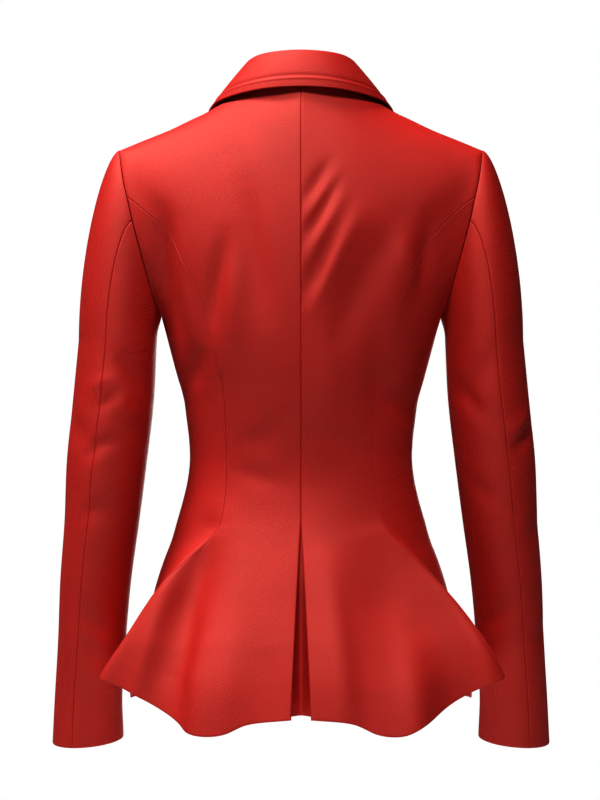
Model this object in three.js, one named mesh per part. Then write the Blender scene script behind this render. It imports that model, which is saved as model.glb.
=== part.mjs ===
// A women's fitted, hip-length wool coat: turned-down collar, notched lapels, princess seams
// that run into a flared peplum, an inverted pleat below the centre-back seam and two-piece sleeves.
// Millimetres, +Z up. The front faces -Y and the wearer's left is +X. The origin is on the body's
// central axis at the height of the shoulders, where the wearer holds the coat up.
import * as THREE from "three";

// Driving dimensions
const CLOTH = 2; // thickness of the cloth
const SEAM_GAP = 0.3; // between two pieces at a seam
const ARMHOLE_GAP = 0.7 * SEAM_GAP; // the part of it that each side gives at the armhole
const LAP = 15; // how far each front reaches past the centre front
const UNDERLAP = 2.6; // how far the left front lies behind the right one
const UNDERLAP_AT_BREAK = 7; // the same where the lapels start to turn
const WAIST_Z = -414; // where the peplum starts to flare
const CHEST_Z = -290; // level section from which the upper panels fan out
const BACK_POWER = 2.3; // squareness of the back sections
const FRONT_POWER = 2.7; // squareness of the front sections
const NECK = { side: 70, sideY: 2, sideZ: 14, backDepth: 60, backRise: 6 };
const ARMHOLE = { middleZ: -134, halfHeight: 88, backDepth: 46, frontDepth: 42 };
const BREAK_Z = -276; // where the lapels start to turn
const GORGE = { x: 57, z: -26 }; // where the collar's seam meets the roll line
const LAPEL_TIP = { x: 121, z: -84 };
const LAPEL_LIFT = 2.6; // lapel above the front at its edge
const FOLD_RADIUS = 2.4; // of the collar's roll, to the middle of the cloth
const PLEAT_TOP_Z = -436;
const PLEAT_OPENING = 10; // half the opening of the pleat at the hem
const PLEAT_DEPTH = 30; // how far the folds turn in behind the back
const SLEEVE_FRONT_SEAM = 235; // degrees round the sleeve from its outer line
const BUTTON = { radius: 10, thickness: 4, rim: 1.4 };
const BUTTON_CLEARANCE = 0.6; // behind a button, where the front curves away
const BUTTON_Z = { button_top: -302, button_middle: -366, button_low: -430 };

const RED = 0xd2342a;
const BUTTON_RED = 0x8e1a16;

// Tables with named columns
const table = (names, rows) =>
  rows.map((row) => Object.fromEntries(names.map((name, i) => [name, row[i]])));

// level sections of the body, from the hem up
const TORSO = table(["z", "halfWidth", "back", "front"], [
  [-650, 184, 156, 146],
  [-600, 177, 147, 141],
  [-565, 170, 136, 135],
  [-544, 164, 128, 131],
  [-523, 158, 120, 127],
  [-501, 152, 112, 122],
  [-480, 145, 104, 118],
  [-459, 137, 96, 113],
  [-438, 131, 89, 108],
  [-417, 125, 84, 104],
  [-395, 120, 81, 102],
  [-374, 117.7, 81.5, 102],
  [-353, 118.5, 84, 104],
  [-332, 121, 87, 108],
  [-311, 124, 90, 113],
  [-290, 130, 93, 118],
]);

// where the princess seams run round a section, and how far their flutes stand out
const BACK_SEAM = table(["z", "angle", "flute"], [
  [-640, 66, 58],
  [-596, 64, 54],
  [-559, 60.5, 42],
  [-518, 57, 28],
  [-482, 51, 14],
  [-456, 42.5, 7],
  [-444, 38, 4],
  [-436, 36.5, 2],
  [-412, 36.5, 0],
  [-392, 37.4, 0],
  [-363, 38.2, 0],
  [-321, 37.2, 0],
  [-290, 36.4, 0],
]);
const FRONT_SEAM = table(["z", "angle", "flute"], [
  [-640, 52, 26],
  [-560, 47, 17],
  [-500, 41, 8],
  [-450, 35, 2],
  [-412, 31, 0],
  [-363, 30, 0],
  [-290, 29, 0],
]);

// the hem's height and the side flute's strength, by the place across a half of the body
const BACK_HEM = table(["across", "z"], [
  [0, -633],
  [0.2, -638],
  [0.33, -648.5],
  [0.43, -649],
  [0.54, -642],
  [0.66, -632],
  [0.82, -616],
  [1, -597],
  [1.1, -599],
  [1.25, -604],
  [1.6, -617],
  [2, -626],
]);
const FRONT_HEM = table(["across", "z"], [
  [0, -648],
  [0.5, -646],
  [1, -627],
  [1.3, -629],
  [2, -626],
]);

// how each column of an upper panel curves from the chest section up to its edge
const BACK_RISE = table(["across", "power", "root", "bulge"], [
  [0, 2.5, 0.92, 12],
  [0.14, 2.8, 0.8, 12],
  [0.28, 3.2, 0.62, 11.5],
  [0.42, 3.6, 0.46, 11],
  [0.6, 3.4, 0.46, 11],
  [0.79, 3, 0.5, 11],
  [0.9, 2.6, 0.7, 11],
  [1, 2.2, 0.9, 11],
  [1.5, 1.9, 0.95, 4],
  [2, 1.5, 1, 0],
]);
const FRONT_RISE = table(["across", "power", "root", "bulge"], [
  [0, 1.6, 1, 4],
  [0.38, 2, 0.8, 14],
  [0.5, 2.4, 0.52, 18],
  [0.65, 2.6, 0.5, 22],
  [0.82, 2.6, 0.5, 25],
  [0.9, 2.4, 0.7, 26],
  [1, 2, 0.8, 26],
  [1.5, 1.8, 0.9, 10],
  [2, 1.5, 1, 0],
]);

const SHOULDER = table(["x", "z"], [
  [70, 14],
  [97, -4.5],
  [115, -13],
  [140, -25],
  [164, -34.5],
  [192, -46],
]);
const ARMHOLE_EDGE = table(["z", "x"], [
  [-222, 148],
  [-200, 156],
  [-174, 163],
  [-144, 171],
  [-123, 176.5],
  [-103, 181],
  [-82, 186],
  [-60, 190],
  [-46, 192],
]);
const ROLL_LINE_DEPTH = table(["z", "y"], [
  [-276, -119],
  [-200, -115],
  [-120, -98],
  [-60, -75],
  [-26, -58],
]);

// level sections of the sleeve, from the cuff up
const SLEEVE = table(["z", "x", "y", "halfWidth", "halfDepth"], [
  [-677, 228, -32, 38, 44],
  [-629, 227, -25, 36, 44],
  [-565, 222.6, -16, 36, 46],
  [-501, 218, -8, 37.6, 48],
  [-438, 211, -2, 39.6, 50],
  [-374, 205.4, 2, 42.4, 52],
  [-311, 198.6, 2, 42.8, 54],
  [-247, 194, 0, 41.3, 56],
]);

// the collar's roll and the fall's edge, from the centre back (0) to the gorge (1)
const COLLAR = table(["along", "rollX", "rollY", "rollZ", "edgeX", "edgeY", "edgeZ"], [
  [0, 0, 57, 53, 0, 71, 14.6],
  [0.15, 22, 53, 52, 35, 66, 13],
  [0.3, 41.5, 41, 50, 64, 49, 9],
  [0.45, 53.5, 22, 45, 82, 29, 5],
  [0.6, 58, 0, 38, 93, 2, 2],
  [0.75, 61, -24, 22, 101, -26, -8],
  [0.9, 60, -48, -6, 111, -52, -34],
  [1, 56, -60.5, -24, 118, -67, -50],
]);
const COLLAR_SIDE_NECK = 0.6; // along, where the collar passes the shoulder seam

// Columns and rows of the cloth grids
const BACK_COLUMNS = [0, 0.14, 0.28, 0.42, 0.54, 0.66, 0.79, 0.86, 0.92, 0.97, 1];
const BACK_SIDE_COLUMNS = [1, 1.03, 1.08, 1.16, 1.32, 1.55, 1.78, 2];
const FRONT_COLUMNS = [0, 0.1, 0.2, 0.29, 0.38, 0.44, 0.5, 0.6, 0.71, 0.82, 0.91, 1];
const FRONT_SIDE_COLUMNS = [1, 1.1, 1.25, 1.5, 1.75, 2];
const PEPLUM_ROWS = 8;
const WAIST_ROWS = 4;
const UPPER_BACK_ROWS = [0.14, 0.28, 0.41, 0.54, 0.66, 0.77, 0.87, 0.95, 1]; // closer at the top
const UPPER_FRONT_ROWS = [1, 2, 3, 4, 5, 6, 7, 8, 9].map((row) => row / 9);
const SLEEVE_ROWS = 9;
const CAP_ROWS = 8;

// Small helpers
const mix = (a, b, t) => a + (b - a) * t;
const clamp = (value, low, high) => Math.min(high, Math.max(low, value));
const smooth = (from, to, value) => {
  const t = clamp((value - from) / (to - from), 0, 1);
  return t * t * (3 - 2 * t);
};
const steps = (count, from = 0, to = 1) =>
  Array.from({ length: count + 1 }, (_, i) => mix(from, to, i / count));
const radians = (degrees) => (degrees * Math.PI) / 180;
const vector = (x, y, z) => new THREE.Vector3(x, y, z);
const moved = (point, direction, distance) => point.clone().addScaledVector(direction, distance);

// a smooth curve through a table's rows: column `to` as a function of column `from`
function along(rows, from, to) {
  const x = rows.map((row) => row[from]);
  const y = rows.map((row) => row[to]);
  const slope = x.map((_, i) => {
    const a = Math.max(i - 1, 0);
    const b = Math.min(i + 1, x.length - 1);
    return (y[b] - y[a]) / (x[b] - x[a]);
  });
  return (value) => {
    const v = clamp(value, x[0], x.at(-1));
    const i = clamp(x.findIndex((edge) => edge >= v) - 1, 0, x.length - 2);
    const width = x[i + 1] - x[i];
    const t = (v - x[i]) / width;
    const [t2, t3] = [t * t, t * t * t];
    return (
      y[i] * (2 * t3 - 3 * t2 + 1) +
      y[i + 1] * (3 * t2 - 2 * t3) +
      slope[i] * width * (t3 - 2 * t2 + t) +
      slope[i + 1] * width * (t3 - t2)
    );
  };
}

const halfWidthAt = along(TORSO, "z", "halfWidth");
const shoulderZ = along(SHOULDER, "x", "z");
const armholeX = along(ARMHOLE_EDGE, "z", "x");
const rollLineY = along(ROLL_LINE_DEPTH, "z", "y");

// a crest that is sharp at its ridge and fades on both sides, by degrees away from it
const RIDGE_SOFTNESS = 2.5;
const RIDGE_WIDTH = 9;
const SIDE_RIDGE_WIDTH = 4.2; // on the side panels, where it falls away faster
const crest = (degrees, width) =>
  Math.exp(-(Math.hypot(degrees, RIDGE_SOFTNESS) - RIDGE_SOFTNESS) / width);
const SECOND_FLUTE = { angle: 33, width: 12, height: 20 };

// the armhole's edge: 0 degrees at the shoulder tip, 90 at the back, 180 under the arm
function armhole(degrees) {
  const z = ARMHOLE.middleZ + ARMHOLE.halfHeight * Math.cos(radians(degrees));
  const side = Math.sin(radians(degrees));
  return vector(armholeX(z), side * (side > 0 ? ARMHOLE.backDepth : ARMHOLE.frontDepth), z);
}

// upper edge of the back: neck, shoulder, armhole
const BACK_NECK_END = 0.42;
const BACK_SHOULDER_END = 0.79;
const BACK_SEAM_ON_ARMHOLE = 66;
function backEdge(across) {
  if (across <= BACK_NECK_END) {
    const turn = (across / BACK_NECK_END) * (Math.PI / 2);
    const z = NECK.sideZ + NECK.backRise * Math.cos(turn);
    return vector(NECK.side * Math.sin(turn), NECK.sideY + NECK.backDepth * Math.cos(turn), z);
  }
  if (across <= BACK_SHOULDER_END) return shoulder(across, BACK_NECK_END, BACK_SHOULDER_END);
  if (across <= 1) {
    const t = (across - BACK_SHOULDER_END) / (1 - BACK_SHOULDER_END);
    return armhole(t * BACK_SEAM_ON_ARMHOLE);
  }
  return armhole(mix(BACK_SEAM_ON_ARMHOLE, 180, across - 1));
}

// upper edge of the front: roll line, neck, shoulder, armhole
const ROLL_LINE_END = 0.38;
const FRONT_NECK_END = 0.5;
const FRONT_SHOULDER_END = 0.82;
const FRONT_SEAM_ON_ARMHOLE = 285;
function frontEdge(across) {
  if (across <= ROLL_LINE_END) {
    const t = across / ROLL_LINE_END;
    const z = mix(BREAK_Z, GORGE.z, t);
    return vector(mix(-LAP, GORGE.x, t), rollLineY(z), z);
  }
  if (across <= FRONT_NECK_END) {
    const t = (across - ROLL_LINE_END) / (FRONT_NECK_END - ROLL_LINE_END);
    const turn = (t * Math.PI) / 2;
    const x = mix(GORGE.x, NECK.side, 1 - Math.cos(turn) * (1 - 0.3 * t));
    const y = mix(rollLineY(GORGE.z), NECK.sideY, t);
    return vector(x, y, mix(GORGE.z, NECK.sideZ, Math.sin(turn)));
  }
  if (across <= FRONT_SHOULDER_END) return shoulder(across, FRONT_NECK_END, FRONT_SHOULDER_END);
  if (across <= 1) {
    const t = (across - FRONT_SHOULDER_END) / (1 - FRONT_SHOULDER_END);
    return armhole(mix(360, FRONT_SEAM_ON_ARMHOLE, t));
  }
  return armhole(mix(FRONT_SEAM_ON_ARMHOLE, 180, across - 1));
}

function shoulder(across, from, to) {
  const t = (across - from) / (to - from);
  const x = mix(NECK.side, SHOULDER.at(-1).x, t);
  return vector(x, NECK.sideY * (1 - t), shoulderZ(x));
}

// The two halves of the left side of the body. `across` runs from the centre (0) through the
// princess seam (1) to the side seam (2).
const BACK = {
  facing: 1,
  power: BACK_POWER,
  depth: along(TORSO, "z", "back"),
  seamAngle: along(BACK_SEAM, "z", "angle"),
  flute: along(BACK_SEAM, "z", "flute"),
  startX: 0,
  hem: along(BACK_HEM, "across", "z"),
  edge: backEdge,
  rise: ["power", "root", "bulge"].map((name) => along(BACK_RISE, "across", name)),
  bulge: (t) => 4 * t * (1 - t),
  upperRows: UPPER_BACK_ROWS,
};
const FRONT = {
  facing: -1,
  power: FRONT_POWER,
  depth: along(TORSO, "z", "front"),
  seamAngle: along(FRONT_SEAM, "z", "angle"),
  flute: along(FRONT_SEAM, "z", "flute"),
  startX: -LAP,
  hem: along(FRONT_HEM, "across", "z"),
  edge: frontEdge,
  rise: ["power", "root", "bulge"].map((name) => along(FRONT_RISE, "across", name)),
  bulge: (t) => 6.75 * t * (1 - t) * (1 - t),
  upperRows: UPPER_FRONT_ROWS,
};

// a point of the level section at height z
function sectionPoint(half, across, z) {
  const width = halfWidthAt(z);
  const start = (-Math.pow(-half.startX / width, half.power / 2) * 180) / Math.PI || 0;
  const seam = half.seamAngle(z);
  const degrees = across <= 1 ? mix(start, seam, across) : mix(seam, 90, across - 1);
  const sine = Math.sin(radians(degrees));
  const depth = half.depth(z);
  const x = width * Math.sign(sine) * Math.pow(Math.abs(sine), 2 / half.power);
  const y = depth * Math.cos(radians(degrees));
  const out = vector(x / (width * width), y / (depth * depth), 0).normalize();
  let stand = half.flute(z) * crest(degrees - seam, across > 1 ? SIDE_RIDGE_WIDTH : RIDGE_WIDTH);
  if (half === BACK) {
    const { angle, width: spread, height } = SECOND_FLUTE;
    stand += height * smooth(-490, -640, z) * Math.exp(-(((degrees - angle) / spread) ** 2));
  }
  return vector(x + out.x * stand, half.facing * (y + out.y * stand), z);
}

// a point of the whole body: `up` is 0 at the hem, 1 at the waist, 2 at the chest section and
// 3 at the upper edge
function bodyPoint(half, across, up) {
  if (up <= 1) return sectionPoint(half, across, mix(half.hem(across), WAIST_Z, up));
  if (up <= 2) return sectionPoint(half, across, mix(WAIST_Z, CHEST_Z, up - 1));
  const t = up - 2;
  const base = sectionPoint(half, across, CHEST_Z);
  const top = half.edge(across);
  const [power, root, bulge] = half.rise.map((value) => value(across));
  const straight = mix(0.45, 1, smooth(1, 2, across));
  const drift = straight * t + (1 - straight) * t ** 4;
  const z = mix(CHEST_Z, top.z, t);
  const fall = Math.pow(Math.max(0, 1 - Math.pow(t, power)), root);
  const out = bulge * half.bulge(t) * clamp((top.z - CHEST_Z) / 200, 0, 1);
  return vector(mix(base.x, top.x, drift), mix(top.y, base.y, fall) + half.facing * out, z);
}

// how the body's surface lies at a point: across it, up it and out of it
const PROBE = 0.004;
function bodyFrame(half, across, up) {
  const safeUp = Math.min(up, 2.985);
  const [a0, a1] = [Math.max(across - PROBE, 0), Math.min(across + PROBE, 2)];
  const [u0, u1] = [Math.max(safeUp - PROBE, 0), safeUp + PROBE];
  const right = bodyPoint(half, a1, safeUp).sub(bodyPoint(half, a0, safeUp)).normalize();
  const upward = bodyPoint(half, across, u1).sub(bodyPoint(half, across, u0)).normalize();
  const out = right.clone().cross(upward).multiplyScalar(-half.facing);
  const neckEnd = half === BACK ? BACK_NECK_END : FRONT_NECK_END;
  const shoulderEnd = half === BACK ? BACK_SHOULDER_END : FRONT_SHOULDER_END;
  if (across > 2 - PROBE) out.y = 0;
  if (up > 2.9 && across >= neckEnd && across <= shoulderEnd) out.y *= (3 - up) * 10;
  if (half === BACK && across < PROBE) out.x = 0;
  return { right, upward, out: out.normalize() };
}

// the left front lies behind the right one where they lap
const underlap = (point) =>
  smooth(38, 20, point.x) * smooth(-180, -222, point.z) *
  mix(UNDERLAP, UNDERLAP_AT_BREAK, smooth(CHEST_Z - 20, CHEST_Z, point.z));

// a point of the front's surface at the place (x, z), for what lies on the upper front
function frontAt(x, z) {
  let [low, high] = [0, 2];
  let up = 2;
  for (let i = 0; i < 40; i += 1) {
    const middle = (low + high) / 2;
    up = 2 + clamp((z - CHEST_Z) / (FRONT.edge(middle).z - CHEST_Z), 0, 1);
    if (bodyPoint(FRONT, middle, up).x < x) low = middle;
    else high = middle;
  }
  return { point: bodyPoint(FRONT, low, up), out: bodyFrame(FRONT, low, up).out };
}

// a closed wall between two grids of points; where a grid's points fall together, so do the
// wall's corners
function wall(outer, inner) {
  const rows = outer.length;
  const columns = outer[0].length;
  const numbers = new Map();
  const positions = [];
  const index = (point) => {
    const key = point.toArray().map((value) => Math.round(value * 1e4)).join(",");
    if (!numbers.has(key)) {
      numbers.set(key, positions.length / 3);
      positions.push(...point.toArray());
    }
    return numbers.get(key);
  };
  const front = outer.map((row) => row.map(index));
  const back = inner.map((row) => row.map(index));
  const triangles = [];
  const face = (a, b, c, d) => {
    for (const corners of [[a, b, c], [a, c, d]]) {
      if (new Set(corners).size === 3) triangles.push(...corners);
    }
  };
  for (let i = 0; i + 1 < rows; i += 1) {
    for (let j = 0; j + 1 < columns; j += 1) {
      face(front[i][j], front[i][j + 1], front[i + 1][j + 1], front[i + 1][j]);
      face(back[i][j], back[i + 1][j], back[i + 1][j + 1], back[i][j + 1]);
    }
    face(front[i][0], front[i + 1][0], back[i + 1][0], back[i][0]);
    face(front[i + 1].at(-1), front[i].at(-1), back[i].at(-1), back[i + 1].at(-1));
  }
  for (let j = 0; j + 1 < columns; j += 1) {
    face(front[0][j + 1], front[0][j], back[0][j], back[0][j + 1]);
    face(front.at(-1)[j], front.at(-1)[j + 1], back.at(-1)[j + 1], back.at(-1)[j]);
  }
  const geometry = new THREE.BufferGeometry();
  geometry.setAttribute("position", new THREE.Float32BufferAttribute(positions, 3));
  geometry.setIndex(facingOut(positions, triangles));
  geometry.computeVertexNormals();
  return geometry;
}

// the triangles turned so that the solid's faces point out
function facingOut(positions, triangles) {
  const corner = (n) => vector(...positions.slice(3 * n, 3 * n + 3));
  let volume = 0;
  for (let i = 0; i < triangles.length; i += 3) {
    const [a, b, c] = [0, 1, 2].map((k) => corner(triangles[i + k]));
    volume += a.dot(b.cross(c));
  }
  return volume > 0 ? triangles : triangles.reverse();
}

// one piece of the body between two columns, with its edges drawn back from the seams
function bodyPanel(half, columns, { underneath = false } = {}) {
  const ups = [...steps(PEPLUM_ROWS), ...steps(WAIST_ROWS, 1, 2).slice(1)];
  ups.push(...half.upperRows.map((share) => 2 + share));
  const shoulderEnd = half === BACK ? BACK_SHOULDER_END : FRONT_SHOULDER_END;
  const neckEnd = half === BACK ? BACK_NECK_END : FRONT_NECK_END;
  const outer = [];
  const inner = [];
  for (const up of ups) {
    const points = columns.map((across, j) => {
      const { right, upward, out } = bodyFrame(half, across, up);
      const point = bodyPoint(half, across, up);
      if (half === BACK && across < PLEAT_REACH) openPleat(point, across);
      if (underneath) point.addScaledVector(out, -underlap(point));
      const first = j === 0 && !(half === FRONT && across === 0);
      if (first) point.addScaledVector(right, SEAM_GAP / 2);
      if (j === columns.length - 1) point.addScaledVector(right, -SEAM_GAP / 2);
      if (up === 3 && across >= shoulderEnd) point.x -= ARMHOLE_GAP;
      if (up === 3 && across > neckEnd && across <= shoulderEnd) point.y += half.facing * SEAM_GAP;
      const edge = up === 3 && across >= shoulderEnd ? armholeNormal(half, across).body : out;
      return { point, out: edge };
    });
    outer.push(points.map(({ point }) => point));
    inner.push(points.map(({ point, out }) => moved(point, out, -CLOTH)));
  }
  return wall(outer, inner);
}

// below its top, the pleat parts the back panels' centre edges
const PLEAT_LENGTH = 190;
const PLEAT_REACH = 0.3; // across, as far as the panels give way to it
const pleatHalfWidth = (z) =>
  PLEAT_OPENING * Math.pow(clamp((PLEAT_TOP_Z - z) / PLEAT_LENGTH, 0, 1.2), 0.9);
function openPleat(point, across) {
  point.x += pleatHalfWidth(point.z) * (1 - across / PLEAT_REACH);
}

// The sleeve: degrees run from its outer line (0) to the back (90) and the inside (180); `up`
// is 0 at the cuff, 1 at the biceps and 2 at the armhole.
const sleeveAt = Object.fromEntries(
  ["x", "y", "halfWidth", "halfDepth"].map((name) => [name, along(SLEEVE, "z", name)]),
);
const BICEPS_Z = SLEEVE.at(-1).z;
const CUFF_Z = SLEEVE[0].z;
const CUFF_TILT = 4; // how far the cuff's back hangs below its middle
const CUFF_INNER_RISE = 6; // how far its inner side is drawn up
function sleevePoint(degrees, up) {
  const [cosine, sine] = [Math.cos(radians(degrees)), Math.sin(radians(degrees))];
  const z = mix(CUFF_Z, BICEPS_Z, Math.min(up, 1));
  const ring = vector(
    sleeveAt.x(z) + sleeveAt.halfWidth(z) * cosine,
    sleeveAt.y(z) + sleeveAt.halfDepth(z) * sine,
    z + (CUFF_INNER_RISE * (1 - cosine) / 2 - CUFF_TILT * sine) * Math.max(0, 1 - up * 4),
  );
  if (up <= 1) return ring;
  const start = armhole(degrees);
  const reach = start.distanceTo(ring);
  const high = (1 + cosine) / 2;
  const leave = vector(mix(0.1, 1, high), 0.35 * sine, mix(-1, -0.25, high)).normalize();
  const nearStart = moved(start, leave, reach * mix(0.3, 0.08, Math.sqrt(high)));
  const nearRing = vector(ring.x, ring.y, ring.z + reach * 0.47);
  const curve = new THREE.CubicBezierCurve3(ring, nearRing, nearStart, start);
  return curve.getPoint(up - 1);
}
function sleeveNormal(degrees, up) {
  const [u0, u1] = [Math.max(up - PROBE, 0), Math.min(up + PROBE, 2)];
  const round = sleevePoint(degrees + 0.5, up).sub(sleevePoint(degrees - 0.5, up));
  const upward = sleevePoint(degrees, u1).sub(sleevePoint(degrees, u0));
  return round.cross(upward).normalize();
}

// at the armhole, body and sleeve share one direction where their own would cross
function armholeNormal(half, across, degrees = armholeDegrees(half, across)) {
  const place = across ?? armholeAcross(half, degrees);
  const body = bodyFrame(half, place, 3).out;
  const sleeve = sleeveNormal(degrees, 2);
  if (body.x >= sleeve.x) return { body, sleeve };
  const shared = body.clone().add(sleeve).normalize();
  return { body: shared, sleeve: shared };
}
function armholeDegrees(half, across) {
  const top = half === BACK ? 0 : 360;
  const seam = half === BACK ? BACK_SEAM_ON_ARMHOLE : FRONT_SEAM_ON_ARMHOLE;
  const shoulderEnd = half === BACK ? BACK_SHOULDER_END : FRONT_SHOULDER_END;
  if (across > 1) return mix(seam, 180, across - 1);
  return mix(top, seam, (across - shoulderEnd) / (1 - shoulderEnd));
}
function armholeAcross(half, degrees) {
  const top = half === BACK ? 0 : 360;
  const seam = half === BACK ? BACK_SEAM_ON_ARMHOLE : FRONT_SEAM_ON_ARMHOLE;
  const shoulderEnd = half === BACK ? BACK_SHOULDER_END : FRONT_SHOULDER_END;
  const t = (degrees - top) / (seam - top);
  if (t > 1) return 1 + (degrees - seam) / (180 - seam);
  return mix(shoulderEnd, 1, t);
}

// the back seam runs from the armhole's back edge down to the cuff
const BACK_SEAM_DEGREES = table(["up", "degrees"], [[0, 68], [0.5, 72], [1, 77], [2, 83]]);
const backSeamDegrees = along(BACK_SEAM_DEGREES, "up", "degrees");
function sleevePiece(from, to, count) {
  const outer = [];
  const inner = [];
  for (const up of [...steps(SLEEVE_ROWS), ...steps(CAP_ROWS, 1, 2).slice(1)]) {
    const points = steps(count).map((t) => {
      const degrees = mix(from(up), to(up), t);
      const round = sleevePoint(degrees + 0.5, up).sub(sleevePoint(degrees - 0.5, up)).normalize();
      const point = sleevePoint(degrees, up);
      if (t === 0) point.addScaledVector(round, SEAM_GAP / 2);
      if (t === 1) point.addScaledVector(round, -SEAM_GAP / 2);
      if (up < 2) return { point, out: sleeveNormal(degrees, up) };
      point.x += ARMHOLE_GAP;
      const turn = (degrees + 360) % 360;
      const half = turn <= 180 ? BACK : FRONT;
      return { point, out: armholeNormal(half, armholeAcross(half, turn), turn).sleeve };
    });
    outer.push(points.map(({ point }) => point));
    inner.push(points.map(({ point, out }) => moved(point, out, -CLOTH)));
  }
  return wall(outer, inner);
}

// The collar: one wall folded over its roll. `side` is along the collar, -1 to 1, and the left
// half is mirrored to the right.
const collarAt = Object.fromEntries(
  Object.keys(COLLAR[0]).slice(1).map((name) => [name, along(COLLAR, "along", name)]),
);
const STAND_LIFT = 0.6; // of the stand above the neck's edge
const FALL_BOW = 3; // how far the fall bows out between roll and edge
function neckPlace(reach) {
  const t = (reach - COLLAR_SIDE_NECK) / (1 - COLLAR_SIDE_NECK);
  if (t > 0) return { half: FRONT, across: mix(FRONT_NECK_END, ROLL_LINE_END, t) };
  return { half: BACK, across: (reach / COLLAR_SIDE_NECK) * BACK_NECK_END };
}
function neckPoint(reach) {
  const { half, across } = neckPlace(clamp(reach, 0, 1));
  return half.edge(across);
}
function neckSeat(reach) {
  const place = neckPoint(reach);
  const tangent = neckPoint(reach + 0.01).sub(neckPoint(reach - 0.01)).normalize();
  const { half, across } = neckPlace(reach);
  const { out } = bodyFrame(half, across, 3);
  const inward = tangent.clone().cross(out).normalize();
  if (inward.x > 0.01 || (reach < 0.2 && inward.z < 0)) inward.negate();
  return { place, out, inward };
}
const rollPoint = (reach) =>
  vector(collarAt.rollX(reach), collarAt.rollY(reach), collarAt.rollZ(reach));
function collarSection(reach) {
  const { place, out, inward } = neckSeat(reach);
  const roll = rollPoint(reach);
  const edge = vector(collarAt.edgeX(reach), collarAt.edgeY(reach), collarAt.edgeZ(reach));
  const seat = moved(moved(place, out, -CLOTH / 2), inward, STAND_LIFT);
  const before = rollPoint(Math.max(reach - 0.02, 0));
  const rollTangent = rollPoint(Math.min(reach + 0.02, 1)).sub(before).normalize();
  const square = (offset) => moved(offset, rollTangent, -offset.dot(rollTangent));
  const away = square(edge.clone().sub(roll));
  const low = square(seat.clone().sub(roll)).normalize();
  const down = away.clone().normalize().add(low).normalize();
  const side = away.clone().addScaledVector(down, -away.dot(down)).normalize();
  const centre = moved(roll, down, FOLD_RADIUS);
  const fold = steps(4, 180, 0).map((degrees) =>
    centre.clone()
      .addScaledVector(side, FOLD_RADIUS * Math.cos(radians(degrees)))
      .addScaledVector(down, -FOLD_RADIUS * Math.sin(radians(degrees))),
  );
  const stand = steps(3).slice(0, -1).map((t) => seat.clone().lerp(fold[0], t));
  const middle = fold.at(-1).clone().lerp(edge, 0.5).addScaledVector(side, FALL_BOW);
  const fall = new THREE.QuadraticBezierCurve3(fold.at(-1), middle, edge).getPoints(4).slice(1);
  return { points: [...stand, ...fold, ...fall], out };
}
function collar() {
  const reaches = steps(14);
  const half = reaches.map(collarSection);
  const mirror = (point) => vector(-point.x, point.y, point.z);
  const mirroredHalf = half.slice(1).reverse().map(({ points, out }) => {
    return { points: points.map(mirror), out: mirror(out) };
  });
  const sections = [...mirroredHalf, ...half];
  const grid = sections.map(({ points }) => points);
  const outer = [];
  const inner = [];
  grid.forEach((row, i) => {
    const normals = row.map((_, j) => {
      if (j === 0) return sections[i].out.clone().negate();
      const a = grid[Math.min(i + 1, grid.length - 1)][j].clone().sub(grid[Math.max(i - 1, 0)][j]);
      const b = row[Math.min(j + 1, row.length - 1)].clone().sub(row[j - 1]);
      return b.cross(a).normalize();
    });
    outer.push(row.map((point, j) => moved(point, normals[j], CLOTH / 2)));
    inner.push(row.map((point, j) => moved(point, normals[j], -CLOTH / 2)));
  });
  return wall(outer, inner);
}

// The lapel lies on the upper front from the roll line to its free edge.
const LAPEL_BELLY = 7; // how far its free edge bows out
const LAPEL_RISE = 2.5; // how far it springs up between roll line and edge
const LAPEL_SHIFT = 0.6; // off the roll line
function lapelGrid(startAlong, { underneath = false } = {}) {
  const outer = [];
  const inner = [];
  for (const rowShare of steps(9)) {
    const t = mix(startAlong, 1, rowShare);
    const rollZ = mix(BREAK_Z, GORGE.z, t);
    const rollX = mix(-LAP, GORGE.x, t);
    const freeX = mix(-LAP, LAPEL_TIP.x, t) + LAPEL_BELLY * Math.sin(Math.PI * t);
    const freeZ = mix(BREAK_Z, LAPEL_TIP.z, t);
    const rows = steps(6).map((c) => {
      const x = mix(rollX, freeX, c);
      const z = mix(rollZ, freeZ, c);
      const { point, out } = frontAt(x + LAPEL_SHIFT, z);
      const free = underneath ? smooth(0.2, 0.5, t) : smooth(0, 0.3, t);
      const spring = Math.sin(Math.PI * Math.min(1, c * 1.3)) * free;
      const lift = LAPEL_LIFT + LAPEL_RISE * spring - (underneath ? underlap(point) : 0);
      const place = moved(point, out, lift);
      return { place, out };
    });
    inner.push(rows.map(({ place }) => place));
    outer.push(rows.map(({ place, out }) => moved(place, out, CLOTH)));
  }
  return wall(outer, inner);
}

// The pleat behind the centre back: a return on each side and the underlay across both.
function behindBack(x, z, depth) {
  const side = Math.abs(x);
  let [low, high] = [0, 1];
  for (let i = 0; i < 30; i += 1) {
    const middle = (low + high) / 2;
    if (sectionPoint(BACK, middle, z).x < side) low = middle;
    else high = middle;
  }
  const point = sectionPoint(BACK, low, z);
  return vector(x, point.y - depth, z);
}
const PLEAT_ROWS = 8;
const RETURN_DEPTH = CLOTH + 1; // behind the back's outer face, along Y
const UNDERLAY_DEPTH = RETURN_DEPTH + CLOTH + 0.4;
function pleatStrip(fromX, toX, count, depth) {
  const outer = [];
  const inner = [];
  for (const t of steps(PLEAT_ROWS)) {
    const z = mix(BACK.hem(0) + 1, PLEAT_TOP_Z - 6, t);
    const xs = steps(count, fromX(z), toX(z));
    outer.push(xs.map((x) => behindBack(x, z, depth)));
    inner.push(xs.map((x) => behindBack(x, z, depth + CLOTH)));
  }
  return wall(outer, inner);
}

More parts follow.
